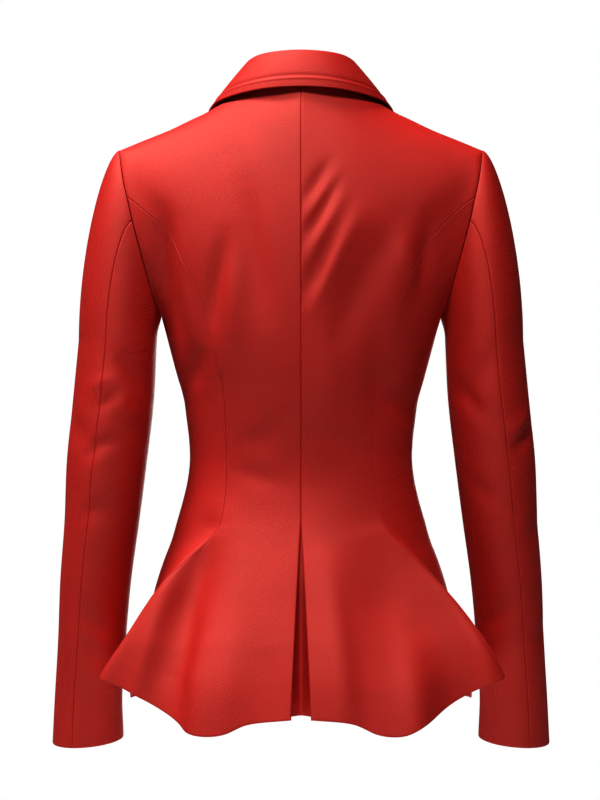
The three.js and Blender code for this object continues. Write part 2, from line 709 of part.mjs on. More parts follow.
// a button: a turned disc with a raised rim, its back on the right front
function button(z) {
  const { radius, thickness, rim } = BUTTON;
  const profile = [
    [0, 0],
    [radius - 1.5, 0],
    [radius, 1.4],
    [radius, thickness - 0.8],
    [radius - 0.8, thickness],
    [radius - 0.8 - rim, thickness],
    [radius - 1.6 - rim, thickness - 1],
    [0, thickness - 1.2],
  ].map(([x, y]) => new THREE.Vector2(x, y));
  const geometry = new THREE.LatheGeometry(profile, 20);
  const lean = Math.atan2(FRONT.depth(z + 5) - FRONT.depth(z - 5), 10);
  geometry.rotateX(Math.PI + lean);
  geometry.translate(0, -FRONT.depth(z) - BUTTON_CLEARANCE, z);
  return geometry;
}

// Assembly
const coat = new THREE.Group();
function add(name, geometry, color = RED, roughness = 0.85) {
  const mesh = new THREE.Mesh(geometry, new THREE.MeshStandardMaterial({ color, roughness }));
  mesh.name = name;
  coat.add(mesh);
}
function mirrored(geometry) {
  const copy = geometry.clone();
  copy.scale(-1, 1, 1);
  const corners = [...copy.index.array];
  copy.setIndex(corners.map((_, i) => corners[i % 3 ? i - (i % 3) + (3 - (i % 3)) : i]));
  return copy;
}
function addPair(name, geometry) {
  add(`${name}_left`, geometry);
  add(`${name}_right`, mirrored(geometry));
}

addPair("back", bodyPanel(BACK, BACK_COLUMNS));
addPair("side_back", bodyPanel(BACK, BACK_SIDE_COLUMNS));
addPair("side_front", bodyPanel(FRONT, FRONT_SIDE_COLUMNS));
add("front_left", bodyPanel(FRONT, FRONT_COLUMNS, { underneath: true }));
add("front_right", mirrored(bodyPanel(FRONT, FRONT_COLUMNS)));
add("lapel_left", lapelGrid(0.21, { underneath: true }));
add("lapel_right", mirrored(lapelGrid(0.02)));
add("collar", collar());
addPair("top_sleeve", sleevePiece(() => SLEEVE_FRONT_SEAM - 360, backSeamDegrees, 13));
addPair("under_sleeve", sleevePiece(backSeamDegrees, () => SLEEVE_FRONT_SEAM, 8));
const pleatReach = (z) => pleatHalfWidth(z) + PLEAT_DEPTH;
addPair("pleat_return", pleatStrip(pleatHalfWidth, pleatReach, 3, RETURN_DEPTH));
add("pleat_underlay", pleatStrip((z) => -pleatReach(z), pleatReach, 8, UNDERLAY_DEPTH));
for (const [name, z] of Object.entries(BUTTON_Z)) add(name, button(z), BUTTON_RED, 0.4);

export default coat;
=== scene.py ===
"""A women's fitted coat in red wool with a peplum, in the shape that it has when worn.

Lengths in the tables are millimetres, as a tailor would give them, and `M` turns them to metres.
The front faces -Y, +Z is up and the wearer's left is +X."""

import math

import bpy
import numpy as np
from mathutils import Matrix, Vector


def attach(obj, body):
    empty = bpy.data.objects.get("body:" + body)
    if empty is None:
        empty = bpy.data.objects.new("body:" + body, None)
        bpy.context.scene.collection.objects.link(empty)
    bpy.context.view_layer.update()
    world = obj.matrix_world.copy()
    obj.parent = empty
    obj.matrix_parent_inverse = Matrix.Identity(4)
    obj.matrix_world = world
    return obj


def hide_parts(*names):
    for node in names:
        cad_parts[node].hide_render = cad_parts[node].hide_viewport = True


M = 0.001

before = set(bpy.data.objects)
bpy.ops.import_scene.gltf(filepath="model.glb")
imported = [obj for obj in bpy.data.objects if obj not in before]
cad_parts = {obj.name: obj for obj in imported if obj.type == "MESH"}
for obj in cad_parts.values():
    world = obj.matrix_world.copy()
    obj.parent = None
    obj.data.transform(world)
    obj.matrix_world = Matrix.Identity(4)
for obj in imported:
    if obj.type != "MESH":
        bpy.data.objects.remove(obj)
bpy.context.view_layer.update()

# Driving dimensions, in millimetres
CLOTH = 2.0
SEAM_GAP = 0.3
LAP = 15.0
UNDERLAP = 2.6
UNDERLAP_AT_BREAK = 7.0
WAIST_Z = -414.0
CHEST_Z = -290.0
BREAK_Z = -276.0
GORGE_X, GORGE_Z = 57.0, -26.0
LAPEL_TIP_X, LAPEL_TIP_Z = 121.0, -84.0
NECK_SIDE, NECK_SIDE_Y, NECK_SIDE_Z = 70.0, 2.0, 14.0
NECK_BACK_DEPTH, NECK_BACK_RISE = 60.0, 6.0
ARMHOLE_MIDDLE_Z, ARMHOLE_HALF_HEIGHT = -134.0, 88.0
ARMHOLE_BACK, ARMHOLE_FRONT = 46.0, 42.0
FOLD_RADIUS = 2.4
PLEAT_TOP_Z = -436.0
PLEAT_OPENING = 10.0
PLEAT_DEPTH = 30.0
SLEEVE_FRONT_SEAM = 235.0
BUTTONS = {"button_top": -302.0, "button_middle": -366.0, "button_low": -430.0}

# The camera stands behind the coat, level with its middle.
CAMERA_DISTANCE = 3000.0
CAMERA_X = 1.06
CAMERA_Z = -310.6
MM_PER_PIXEL = 1.06
IMAGE_HEIGHT = 800
SENSOR = 36.0


def table(*rows):
    return np.array(rows, float)


# level sections of the body: z, half width, back depth, front depth
TORSO = table(
    (-650, 184, 156, 146),
    (-600, 177, 147, 141),
    (-565, 170, 136, 135),
    (-544, 164, 128, 131),
    (-523, 158, 120, 127),
    (-501, 152, 112, 122),
    (-480, 145, 104, 118),
    (-459, 137, 96, 113),
    (-438, 131, 89, 108),
    (-417, 125, 84, 104),
    (-395, 120, 81, 102),
    (-374, 117.7, 81.5, 102),
    (-353, 118.5, 84, 104),
    (-332, 121, 87, 108),
    (-311, 124, 90, 113),
    (-290, 130, 93, 118),
)
# princess seams: z, degrees round the section, how far the flute stands out
BACK_SEAM = table(
    (-640, 66, 58),
    (-596, 64, 54),
    (-559, 60.5, 42),
    (-518, 57, 28),
    (-482, 51, 14),
    (-456, 42.5, 7),
    (-444, 38, 4),
    (-436, 36.5, 2),
    (-412, 36.5, 0),
    (-392, 37.4, 0),
    (-363, 38.2, 0),
    (-321, 37.2, 0),
    (-290, 36.4, 0),
)
FRONT_SEAM = table(
    (-640, 52, 26),
    (-560, 47, 17),
    (-500, 41, 8),
    (-450, 35, 2),
    (-412, 31, 0),
    (-363, 30, 0),
    (-290, 29, 0),
)
# the hem: place across a half of the body, z
BACK_HEM = table(
    (0, -633),
    (0.2, -638),
    (0.33, -648.5),
    (0.43, -649),
    (0.54, -642),
    (0.66, -632),
    (0.82, -616),
    (1, -597),
    (1.1, -599),
    (1.25, -604),
    (1.6, -617),
    (2, -626),
)
FRONT_HEM = table((0, -648), (0.5, -646), (1, -627), (1.3, -629), (2, -626))
# how a column of an upper panel curves: place across, power, root, bulge
BACK_RISE = table(
    (0, 2.5, 0.92, 12),
    (0.14, 2.8, 0.8, 12),
    (0.28, 3.2, 0.62, 11.5),
    (0.42, 3.6, 0.46, 11),
    (0.6, 3.4, 0.46, 11),
    (0.79, 3, 0.5, 11),
    (0.9, 2.6, 0.7, 11),
    (1, 2.2, 0.9, 11),
    (1.5, 1.9, 0.95, 4),
    (2, 1.5, 1, 0),
)
FRONT_RISE = table(
    (0, 1.6, 1, 4),
    (0.38, 2, 0.8, 14),
    (0.5, 2.4, 0.52, 18),
    (0.65, 2.6, 0.5, 22),
    (0.82, 2.6, 0.5, 25),
    (0.9, 2.4, 0.7, 26),
    (1, 2, 0.8, 26),
    (1.5, 1.8, 0.9, 10),
    (2, 1.5, 1, 0),
)
# the shoulder seam: x, z
SHOULDER = table((70, 14), (97, -4.5), (115, -13), (140, -25), (164, -34.5), (192, -46))
# the armhole's edge: z, x
ARMHOLE_EDGE = table(
    (-222, 148),
    (-200, 156),
    (-174, 163),
    (-144, 171),
    (-123, 176.5),
    (-103, 181),
    (-82, 186),
    (-60, 190),
    (-46, 192),
)
# the lapel's roll line: z, y
ROLL_LINE = table((-276, -119), (-200, -115), (-120, -98), (-60, -75), (-26, -58))
# level sections of the sleeve: z, x, y, half width, half depth
SLEEVE = table(
    (-677, 228, -32, 38, 44),
    (-629, 227, -25, 36, 44),
    (-565, 222.6, -16, 36, 46),
    (-501, 218, -8, 37.6, 48),
    (-438, 211, -2, 39.6, 50),
    (-374, 205.4, 2, 42.4, 52),
    (-311, 198.6, 2, 42.8, 54),
    (-247, 194, 0, 41.3, 56),
)
# the sleeve's back seam: up, degrees round
SLEEVE_BACK_SEAM = table((0, 68), (0.5, 72), (1, 77), (2, 83))
# the collar: along, roll x y z, edge x y z
COLLAR = table(
    (0, 0, 57, 53, 0, 71, 14.6),
    (0.15, 22, 53, 52, 35, 66, 13),
    (0.3, 41.5, 41, 50, 64, 49, 9),
    (0.45, 53.5, 22, 45, 82, 29, 5),
    (0.6, 58, 0, 38, 93, 2, 2),
    (0.75, 61, -24, 22, 101, -26, -8),
    (0.9, 60, -48, -6, 111, -52, -34),
    (1, 56, -60.5, -24, 118, -67, -50),
)
COLLAR_SIDE_NECK = 0.6


def smooth(low, high, value):
    t = np.clip((np.asarray(value, float) - low) / (high - low), 0, 1)
    return t * t * (3 - 2 * t)


def mix(a, b, t):
    return a + (b - a) * t


def stack(x, y, z):
    return np.stack(np.broadcast_arrays(x, y, z), axis=-1)


def unit(v):
    return v / np.maximum(np.linalg.norm(v, axis=-1, keepdims=True), 1e-9)


def along(rows, column):
    """A smooth curve through one column of a table, over its first column."""
    x, y = rows[:, 0], rows[:, column]
    a = np.maximum(np.arange(len(x)) - 1, 0)
    b = np.minimum(np.arange(len(x)) + 1, len(x) - 1)
    slope = (y[b] - y[a]) / (x[b] - x[a])

    def value(v):
        v = np.clip(np.asarray(v, float), x[0], x[-1])
        i = np.clip(np.searchsorted(x, v) - 1, 0, len(x) - 2)
        width = x[i + 1] - x[i]
        t = (v - x[i]) / width
        return (
            y[i] * (2 * t**3 - 3 * t**2 + 1)
            + y[i + 1] * (3 * t**2 - 2 * t**3)
            + slope[i] * width * (t**3 - 2 * t**2 + t)
            + slope[i + 1] * width * (t**3 - t**2)
        )

    return value


half_width = along(TORSO, 1)
shoulder_z = along(SHOULDER, 1)
armhole_x = along(ARMHOLE_EDGE, 1)
roll_line_y = along(ROLL_LINE, 1)

RIDGE_SOFTNESS = 2.5
RIDGE_WIDTH, SIDE_RIDGE_WIDTH = 9.0, 4.2
SECOND_FLUTE_ANGLE, SECOND_FLUTE_WIDTH, SECOND_FLUTE_HEIGHT = 33.0, 12.0, 20.0
SECOND_FLUTE_TOP, SECOND_FLUTE_FULL = -490.0, -640.0
# how the columns of an upper panel drift sideways, and the height over which they come to bulge
CENTRE_STRAIGHTNESS, DRIFT_POWER, BULGE_HEIGHT = 0.45, 4, 200.0
BACK_SQUARENESS, FRONT_SQUARENESS = 2.3, 2.7


def armhole(degrees):
    """The armhole's edge: 0 at the shoulder tip, 90 at the back, 180 under the arm."""
    turn = np.radians(degrees)
    z = ARMHOLE_MIDDLE_Z + ARMHOLE_HALF_HEIGHT * np.cos(turn)
    depth = np.where(np.sin(turn) > 0, ARMHOLE_BACK, ARMHOLE_FRONT)
    return stack(armhole_x(z), depth * np.sin(turn), z)


def shoulder_line(across, start, end):
    t = np.clip((across - start) / (end - start), 0, 1)
    x = mix(NECK_SIDE, SHOULDER[-1, 0], t)
    return stack(x, NECK_SIDE_Y * (1 - t), shoulder_z(x))


def choose(across, limits, curves):
    """The curve that each place across belongs to."""
    out = curves[-1]
    for limit, curve in zip(reversed(limits), reversed(curves[:-1])):
        out = np.where((across <= limit)[..., None], curve, out)
    return out


BACK_NECK_END, BACK_SHOULDER_END, BACK_SEAM_DEGREES = 0.42, 0.79, 66.0
FRONT_ROLL_END, FRONT_NECK_END, FRONT_SHOULDER_END = 0.38, 0.5, 0.82
FRONT_SEAM_DEGREES = 285.0


def back_edge(across):
    turn = np.clip(across / BACK_NECK_END, 0, 1) * math.pi / 2
    neck = stack(
        NECK_SIDE * np.sin(turn),
        NECK_SIDE_Y + NECK_BACK_DEPTH * np.cos(turn),
        NECK_SIDE_Z + NECK_BACK_RISE * np.cos(turn),
    )
    t = np.clip((across - BACK_SHOULDER_END) / (1 - BACK_SHOULDER_END), 0, 1)
    curves = [
        neck,
        shoulder_line(across, BACK_NECK_END, BACK_SHOULDER_END),
        armhole(t * BACK_SEAM_DEGREES),
        armhole(mix(BACK_SEAM_DEGREES, 180, np.clip(across - 1, 0, 1))),
    ]
    return choose(across, [BACK_NECK_END, BACK_SHOULDER_END, 1], curves)


def front_edge(across):
    t = np.clip(across / FRONT_ROLL_END, 0, 1)
    z = mix(BREAK_Z, GORGE_Z, t)
    roll = stack(mix(-LAP, GORGE_X, t), roll_line_y(z), z)
    t = np.clip((across - FRONT_ROLL_END) / (FRONT_NECK_END - FRONT_ROLL_END), 0, 1)
    turn = t * math.pi / 2
    neck = stack(
        mix(GORGE_X, NECK_SIDE, 1 - np.cos(turn) * (1 - 0.3 * t)),
        mix(roll_line_y(GORGE_Z), NECK_SIDE_Y, t),
        mix(GORGE_Z, NECK_SIDE_Z, np.sin(turn)),
    )
    t = np.clip((across - FRONT_SHOULDER_END) / (1 - FRONT_SHOULDER_END), 0, 1)
    curves = [
        roll,
        neck,
        shoulder_line(across, FRONT_NECK_END, FRONT_SHOULDER_END),
        armhole(mix(360, FRONT_SEAM_DEGREES, t)),
        armhole(mix(FRONT_SEAM_DEGREES, 180, np.clip(across - 1, 0, 1))),
    ]
    return choose(across, [FRONT_ROLL_END, FRONT_NECK_END, FRONT_SHOULDER_END, 1], curves)


class Half:
    """The back or the front of the wearer's left side, from the centre (across 0) through the
    princess seam (1) to the side seam (2)."""

    def __init__(self, facing, power, column, seam, start_x, hem, edge, rise, bulge):
        self.facing, self.power, self.start_x = facing, power, start_x
        self.depth = along(TORSO, column)
        self.seam_angle, self.flute = along(seam, 1), along(seam, 2)
        self.hem = along(hem, 1)
        self.edge = edge
        self.rise = [along(rise, k) for k in (1, 2, 3)]
        self.bulge = bulge

    def section(self, across, z):
        width, seam, depth = half_width(z), self.seam_angle(z), self.depth(z)
        start = -np.degrees((-self.start_x / width) ** (self.power / 2))
        inner = mix(start, seam, np.clip(across, None, 1))
        degrees = np.where(across <= 1, inner, mix(seam, 90, across - 1))
        sine = np.sin(np.radians(degrees))
        x = width * np.sign(sine) * np.abs(sine) ** (2 / self.power)
        y = depth * np.cos(np.radians(degrees))
        out = unit(stack(x / width**2, y / depth**2, 0 * x))
        away = np.hypot(degrees - seam, RIDGE_SOFTNESS) - RIDGE_SOFTNESS
        stand = self.flute(z) * np.exp(-away / np.where(across > 1, SIDE_RIDGE_WIDTH, RIDGE_WIDTH))
        if self.facing > 0:
            spread = ((degrees - SECOND_FLUTE_ANGLE) / SECOND_FLUTE_WIDTH) ** 2
            full = smooth(SECOND_FLUTE_TOP, SECOND_FLUTE_FULL, z)
            stand = stand + SECOND_FLUTE_HEIGHT * full * np.exp(-spread)
        return stack(x + out[..., 0] * stand, self.facing * (y + out[..., 1] * stand), z)

    def point(self, across, up):
        """The surface: up is 0 at the hem, 1 at the waist, 2 at the chest, 3 at the top edge."""
        across, up = np.broadcast_arrays(np.asarray(across, float), np.asarray(up, float))
        low_z = np.where(
            up <= 1,
            mix(self.hem(across), WAIST_Z, np.clip(up, 0, 1)),
            mix(WAIST_Z, CHEST_Z, np.clip(up - 1, 0, 1)),
        )
        low = self.section(across, low_z)
        t = np.clip(up - 2, 0, 1)
        base = self.section(across, np.full_like(across, CHEST_Z))
        top = self.edge(across)
        power, root, bulge = (value(across) for value in self.rise)
        straight = mix(CENTRE_STRAIGHTNESS, 1, smooth(1, 2, across))
        drift = straight * t + (1 - straight) * t**DRIFT_POWER
        fall = np.maximum(0, 1 - t**power) ** root
        out = bulge * self.bulge(t) * np.clip((top[..., 2] - CHEST_Z) / BULGE_HEIGHT, 0, 1)
        high = stack(
            mix(base[..., 0], top[..., 0], drift),
            mix(top[..., 1], base[..., 1], fall) + self.facing * out,
            mix(CHEST_Z, top[..., 2], t),
        )
        return np.where((up > 2)[..., None], high, low)


def middle_bulge(t):
    """A bulge of height 1, highest half way up."""
    return 4 * t * (1 - t)


def low_bulge(t):
    """A bulge of height 1, highest a third of the way up."""
    return 6.75 * t * (1 - t) ** 2


BACK_SHAPE = (BACK_SEAM, 0, BACK_HEM, back_edge, BACK_RISE, middle_bulge)
FRONT_SHAPE = (FRONT_SEAM, -LAP, FRONT_HEM, front_edge, FRONT_RISE, low_bulge)
BACK = Half(1, BACK_SQUARENESS, 2, *BACK_SHAPE)
FRONT = Half(-1, FRONT_SQUARENESS, 3, *FRONT_SHAPE)


BISECTION_STEPS = 34


def bisect(low, high, is_before):
    """The places between low and high where is_before turns false."""
    for _ in range(BISECTION_STEPS):
        middle = (low + high) / 2
        before = is_before(middle)
        low, high = np.where(before, middle, low), np.where(before, high, middle)
    return low


# Creases. Each is a soft trough (negative depth) or ridge along a line of points in the plane of
# the picture or of the front, x and z in millimetres, with its half width and its depth.


CREASE_SCALE = 1.45
CREASE_END, CREASE_TAPER = 0.06, 0.8


def crease(points, line, half_span, depth):
    """How far one crease moves each point, by the point's x and z."""
    line = np.array(line, float)
    x, z = points[..., 0], points[..., 2]
    best = np.full(x.shape, np.inf)
    place = np.zeros(x.shape)
    lengths = np.linalg.norm(np.diff(line, axis=0), axis=1)
    starts = np.concatenate([[0], np.cumsum(lengths)])
    for a, b, begin, length in zip(line[:-1], line[1:], starts, lengths):
        d = (b - a) / length
        t = np.clip((x - a[0]) * d[0] + (z - a[1]) * d[1], 0, length)
        away = np.hypot(x - a[0] - t * d[0], z - a[1] - t * d[1])
        nearer = away < best
        best = np.where(nearer, away, best)
        place = np.where(nearer, begin + t, place)
    share = place / starts[-1]
    taper = np.sin(math.pi * mix(CREASE_END, 1 - CREASE_END, share)) ** CREASE_TAPER
    return depth * taper * np.exp(-((best / half_span) ** 2))


BACK_LEFT_CREASES = [
    ([(57, -92), (51, -150), (38, -225)], 14, -3.4),
    ([(79, -142), (87, -185), (95, -240)], 10, -3.6),
    ([(70, -170), (69, -215), (67, -250)], 9, 1.4),
    ([(146, -118), (141, -180), (134, -250)], 13, -5.5),
    ([(126, -138), (123, -190), (114, -250)], 10, 3.2),
    ([(100, -255), (112, -285), (128, -300)], 12, -2.0),
    ([(20, -330), (38, -350), (62, -360)], 14, -1.2),
    ([(24, -396), (50, -388), (74, -380)], 11, -1.0),
    ([(35, -560), (28, -600), (24, -640)], 16, -2.0),
    ([(94, -448), (117, -520), (132, -590), (136, -700)], 17, -10.0),
    ([(128, -480), (152, -540), (178, -640), (200, -760)], 12, 3.5),
    ([(60, -480), (70, -560), (78, -640), (84, -760)], 20, 3.0),
]
BACK_RIGHT_CREASES = [
    ([(-2, -108), (-15, -88), (-29, -64)], 7, -1.9),
    ([(-4, -128), (-19, -106), (-36, -78)], 5, 1.2),
    ([(-5, -146), (-19, -118), (-36, -84)], 7, -2.2),
    ([(-6, -172), (-22, -140), (-42, -100)], 7, 1.6),
    ([(-5, -206), (-18, -176), (-33, -138)], 9, -2.6),
    ([(-12, -214), (-34, -166), (-60, -118)], 10, 2.4),
    ([(-30, -262), (-62, -190), (-98, -128)], 19, -4.2),
    ([(-24, -205), (-27, -280), (-24, -350)], 19, 2.6),
    ([(-76, -170), (-84, -265), (-80, -360)], 22, -3.6),
    ([(-100, -140), (-112, -170), (-124, -205)], 10, 1.8),
    ([(-134, -120), (-128, -170), (-118, -215)], 9, -2.0),
    ([(-20, -345), (-44, -352), (-70, -372)], 12, -1.2),
    ([(-92, -300), (-108, -318), (-120, -330)], 10, -1.6),
    ([(-70, -450), (-94, -550), (-110, -700)], 34, -7.0),
    ([(-150, -490), (-178, -550), (-206, -640), (-226, -760)], 15, 5.0),
    ([(-26, -480), (-38, -570), (-48, -680)], 16, 3.5),
]
FRONT_CREASES = [
    ([(36, -318), (62, -332), (92, -338)], 10, -1.5),
    ([(30, -380), (58, -388), (86, -380)], 11, -1.2),
    ([(118, -150), (124, -190), (128, -236)], 10, -2.2),
    ([(-34, -330), (-60, -342), (-88, -350)], 12, -1.4),
    ([(-116, -160), (-122, -200), (-124, -240)], 11, -2.4),
    ([(-60, -480), (-72, -540), (-80, -600)], 16, -2.0),
    ([(54, -470), (62, -530), (66, -610)], 18, -1.8),
    ([(100, -262), (112, -282), (122, -296)], 9, -1.5),
]
# on the sleeves the first coordinate is degrees round (0 outer, 90 back), scaled to mm
DEGREE_MM = 0.72
SLEEVE_LEFT_CREASES = [
    ([(96, -262), (120, -285), (142, -300)], 11, -2.6),
    ([(92, -300), (112, -322), (140, -330)], 9, 1.6),
    ([(70, -320), (86, -312), (102, -302)], 7, -1.4),
    ([(60, -372), (84, -356), (110, -352)], 8, -1.6),
    ([(58, -300), (76, -290), (92, -290)], 6, 1.0),
    ([(74, -532), (98, -546), (124, -552)], 9, -2.0),
    ([(84, -568), (104, -582), (130, -590)], 8, -1.6),
    ([(60, -434), (84, -424), (108, -430)], 10, -1.2),
    ([(20, -330), (48, -345), (66, -362)], 12, -1.2),
    ([(250, -340), (285, -350), (320, -372)], 12, -2.0),
    ([(262, -392), (290, -388), (318, -400)], 10, -1.6),
    ([(270, -110), (290, -140), (300, -180)], 12, -1.8),
]
SLEEVE_RIGHT_CREASES = [
    ([(100, -330), (122, -312), (146, -296)], 10, -2.4),
    ([(88, -262), (110, -290), (136, -306)], 11, -2.0),
    ([(20, -338), (44, -352), (66, -366)], 9, -2.6),
    ([(24, -322), (46, -334), (64, -346)], 7, 1.5),
    ([(10, -444), (30, -448), (48, -458)], 10, -1.5),
    ([(14, -550), (32, -560), (50, -568)], 9, -1.6),
    ([(96, -420), (118, -404), (140, -392)], 9, -1.4),
    ([(90, -520), (112, -540), (138, -548)], 9, -1.8),
    ([(250, -350), (285, -340), (322, -356)], 12, -2.0),
    ([(262, -410), (288, -398), (316, -404)], 10, -1.5),
    ([(268, -120), (288, -150), (300, -190)], 12, -1.6),
]


def all_creases(points, creases):
    moved = sum((crease(points, *one) for one in creases), np.zeros(points.shape[:-1]))
    return moved * CREASE_SCALE


# Meshes


def grid_normals(points, facing):
    """Unit normals of a grid of points, pointing out of the coat."""
    a = np.gradient(points, axis=0)
    b = np.gradient(points, axis=1)
    return unit(np.cross(b, a)) * facing


# extra lines beside each edge, and the radius that they round it to
EDGE_STEPS = np.array([0.0, 0.35, 0.8, 1.5])
ROUNDING = 1.5
SHORT_SPACING = 2.2


def with_edge_lines(points, normals, axis):
    """Both grids with extra lines close to the first and last edge of one axis."""
    points, normals = np.moveaxis(points, axis, 0), np.moveaxis(normals, axis, 0)
    first = np.linalg.norm(points[1] - points[0], axis=-1)
    last = np.linalg.norm(points[-2] - points[-1], axis=-1)
    low = (EDGE_STEPS[:, None] / np.maximum(first, SHORT_SPACING))[..., None]
    high = (EDGE_STEPS[::-1, None] / np.maximum(last, SHORT_SPACING))[..., None]
    for grid in (points, normals):
        start = grid[:1] + (grid[1:2] - grid[:1]) * low
        end = grid[-1:] + (grid[-2:-1] - grid[-1:]) * high
        yield np.moveaxis(np.concatenate([start, grid[1:-1], end]), 0, axis)


def edge_drop(count, depth_first, depth_last):
    """How far a face sinks at each line near the first and last edges, as a quarter round."""
    drop = np.zeros(count)
    sink = 1 - np.sqrt(1 - (1 - EDGE_STEPS / ROUNDING) ** 2)
    drop[: len(sink)] = sink * depth_first
    drop[-len(sink) :] = sink[::-1] * depth_last
    return drop


# the line that a seam's inner edge is drawn away from, and how far
LINE_BEYOND, SEAM_REACH = len(EDGE_STEPS) + 1, 0.5


def shell(name, points, normals, edges):
    """A closed cloth shell on a grid of outer points. `edges` gives, for the first and last
    column and the first and last row, how deep the outer and the inner face round off."""
    points, normals = with_edge_lines(points, normals, 0)
    points, normals = with_edge_lines(points, normals, 1)
    normals = unit(normals)
    left, right, low, high = edges
    rows, columns = points.shape[:2]
    sinks = []
    for face in (0, 1):
        across = edge_drop(columns, left[face], right[face])
        up = edge_drop(rows, low[face], high[face])
        sinks.append(np.maximum(across[None, :], up[:, None])[..., None])
    outer = points - normals * sinks[0]
    inner = points - normals * (CLOTH - sinks[1])
    # behind a seam's fine groove the two pieces meet
    if left is SEAM:
        inner[:, 0] += unit(inner[:, 0] - inner[:, LINE_BEYOND]) * SEAM_REACH
    if right is SEAM:
        inner[:, -1] += unit(inner[:, -1] - inner[:, -1 - LINE_BEYOND]) * SEAM_REACH
    if high is SEAM:
        inner[-1] += unit(inner[-1] - inner[-1 - LINE_BEYOND]) * SEAM_REACH
    return grid_object(name, outer, inner)


CLOTH_SHARPNESS = 60


def mesh_object(name, vertices, faces, sharpness):
    """A smooth piece from points in millimetres, sharp where faces meet at a steeper angle."""
    mesh = bpy.data.meshes.new(name)
    mesh.from_pydata((np.asarray(vertices) * M).tolist(), [], faces)
    mesh.shade_smooth()
    mesh.set_sharp_from_angle(angle=math.radians(sharpness))
    piece = bpy.data.objects.new(name, mesh)
    bpy.context.scene.collection.objects.link(piece)
    return piece


def grid_object(name, outer, inner):
    """One closed mesh from an outer and an inner grid of points in millimetres."""
    rows, columns = outer.shape[:2]
    front = np.arange(rows * columns).reshape(rows, columns)
    back = front + rows * columns
    quads = [
        np.stack([front[:-1, :-1], front[:-1, 1:], front[1:, 1:], front[1:, :-1]], -1),
        np.stack([back[:-1, :-1], back[1:, :-1], back[1:, 1:], back[:-1, 1:]], -1),
        np.stack([front[:-1, 0], front[1:, 0], back[1:, 0], back[:-1, 0]], -1),
        np.stack([front[1:, -1], front[:-1, -1], back[:-1, -1], back[1:, -1]], -1),
        np.stack([front[0, 1:], front[0, :-1], back[0, :-1], back[0, 1:]], -1),
        np.stack([front[-1, :-1], front[-1, 1:], back[-1, 1:], back[-1, :-1]], -1),
    ]
    faces = np.concatenate([quad.reshape(-1, 4) for quad in quads])
    vertices = np.concatenate([outer.reshape(-1, 3), inner.reshape(-1, 3)])
    a, b, c, d = (vertices[faces[:, k]] for k in range(4))
    volume = (a * np.cross(b, c)).sum() + (a * np.cross(c, d)).sum()
    if volume < 0:
        faces = faces[:, ::-1]
    return mesh_object(name, vertices, faces.tolist(), CLOTH_SHARPNESS)


# the least and the most of its flat rectangle that a cut can fill
LEAST_FILL, MOST_FILL = 0.32, 0.999


def declare(piece, name, grid):
    """The piece takes its node's place, in wool under the root, and hides the node; the flat size
    of the cloth cut that its grid of points was made from is worked out here but not kept.
    """
    piece.data.materials.append(WOOL)
    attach(piece, "root")
    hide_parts(name)
    across, up = np.diff(grid, axis=1), np.diff(grid, axis=0)
    width = round(float(np.linalg.norm(across, axis=-1).sum(1).max() * M), 3)
    length = round(float(np.linalg.norm(up, axis=-1).sum(0).max() * M), 3)
    cells = np.cross(up[:, :-1], across[:-1])
    area = round(float(np.linalg.norm(cells, axis=-1).sum()) * M * M, 4)
    width = min(width, round(area / LEAST_FILL / length, 3))
    area = min(area, MOST_FILL * width * length)


def mirrored(points, side):
    return points * np.array([side, 1, 1])


# Body panels
SIDES = {"left": 1, "right": -1}
SEAM = (1.0, 0.0)
FREE = (1.0, 0.95)
PLAIN = (0.3, 0.0)


PLEAT_HEIGHT, PLEAT_WIDEST, PLEAT_CURVE = 190.0, 1.2, 0.9
# where the left front sinks below the right one: from, to
UNDERLAP_X, UNDERLAP_Z, BREAK_HEIGHT = (38, 20), (-180, -222), 20


def pleat_half_width(z):
    down = np.clip((PLEAT_TOP_Z - z) / PLEAT_HEIGHT, 0, PLEAT_WIDEST)
    return PLEAT_OPENING * down**PLEAT_CURVE


def underlap(points):
    x, z = points[..., 0], points[..., 2]
    depth = mix(UNDERLAP, UNDERLAP_AT_BREAK, smooth(CHEST_Z - BREAK_HEIGHT, CHEST_Z, z))
    return smooth(*UNDERLAP_X, x) * smooth(*UNDERLAP_Z, z) * depth


def spaced(knots, counts):
    """Places between knots, with a number of steps for each stretch."""
    parts = [np.linspace(a, b, n, endpoint=False) for a, b, n in zip(knots, knots[1:], counts)]
    return np.concatenate([*parts, [knots[-1]]])


UPS = spaced([0, 1, 2, 3], [74, 42, 84])
PANELS = {
    "back": (BACK, spaced([0, 0.42, 0.79, 0.94, 1], [18, 14, 8, 8]), (SEAM, SEAM)),
    "side_back": (BACK, spaced([1, 1.12, 1.5, 2], [12, 12, 10]), (SEAM, SEAM)),
    "side_front": (FRONT, spaced([1, 1.2, 2], [9, 20]), (SEAM, SEAM)),
    "front": (FRONT, spaced([0, 0.38, 0.5, 0.82, 1], [22, 8, 14, 10]), (FREE, SEAM)),
}


# how far across or up the panel: the easing below the neck, the pleat's edge and the creases' fades
EASE_LOW, EASE_HIGH, EASING_PASSES = (2, 2.25), (3, 2.93), 60
PLEAT_SHARE = 0.3
TOP_FADE, CENTRE_FADE, FLARE_FADE = 0.06, 0.1, (1, 1.06)
FLARE_FADE_Z = (-440, -480)


def eased(points, share):
    """The grid with its upper rows drawn smooth across, as pressed cloth lies below a corner."""
    share = share[..., None]
    for _ in range(EASING_PASSES):
        middle = (points[:, :-2] + 2 * points[:, 1:-1] + points[:, 2:]) / 4
        points[:, 1:-1] = mix(points[:, 1:-1], middle, share)
    return points


def make_room(points, at_first=True):
    """Half a seam's gap at the side edges and the top edge of a piece."""
    if at_first:
        points[:, 0] += unit(points[:, 1] - points[:, 0]) * SEAM_GAP / 2
    points[:, -1] += unit(points[:, -2] - points[:, -1]) * SEAM_GAP / 2
    points[-1] += unit(points[-2] - points[-1]) * SEAM_GAP / 2


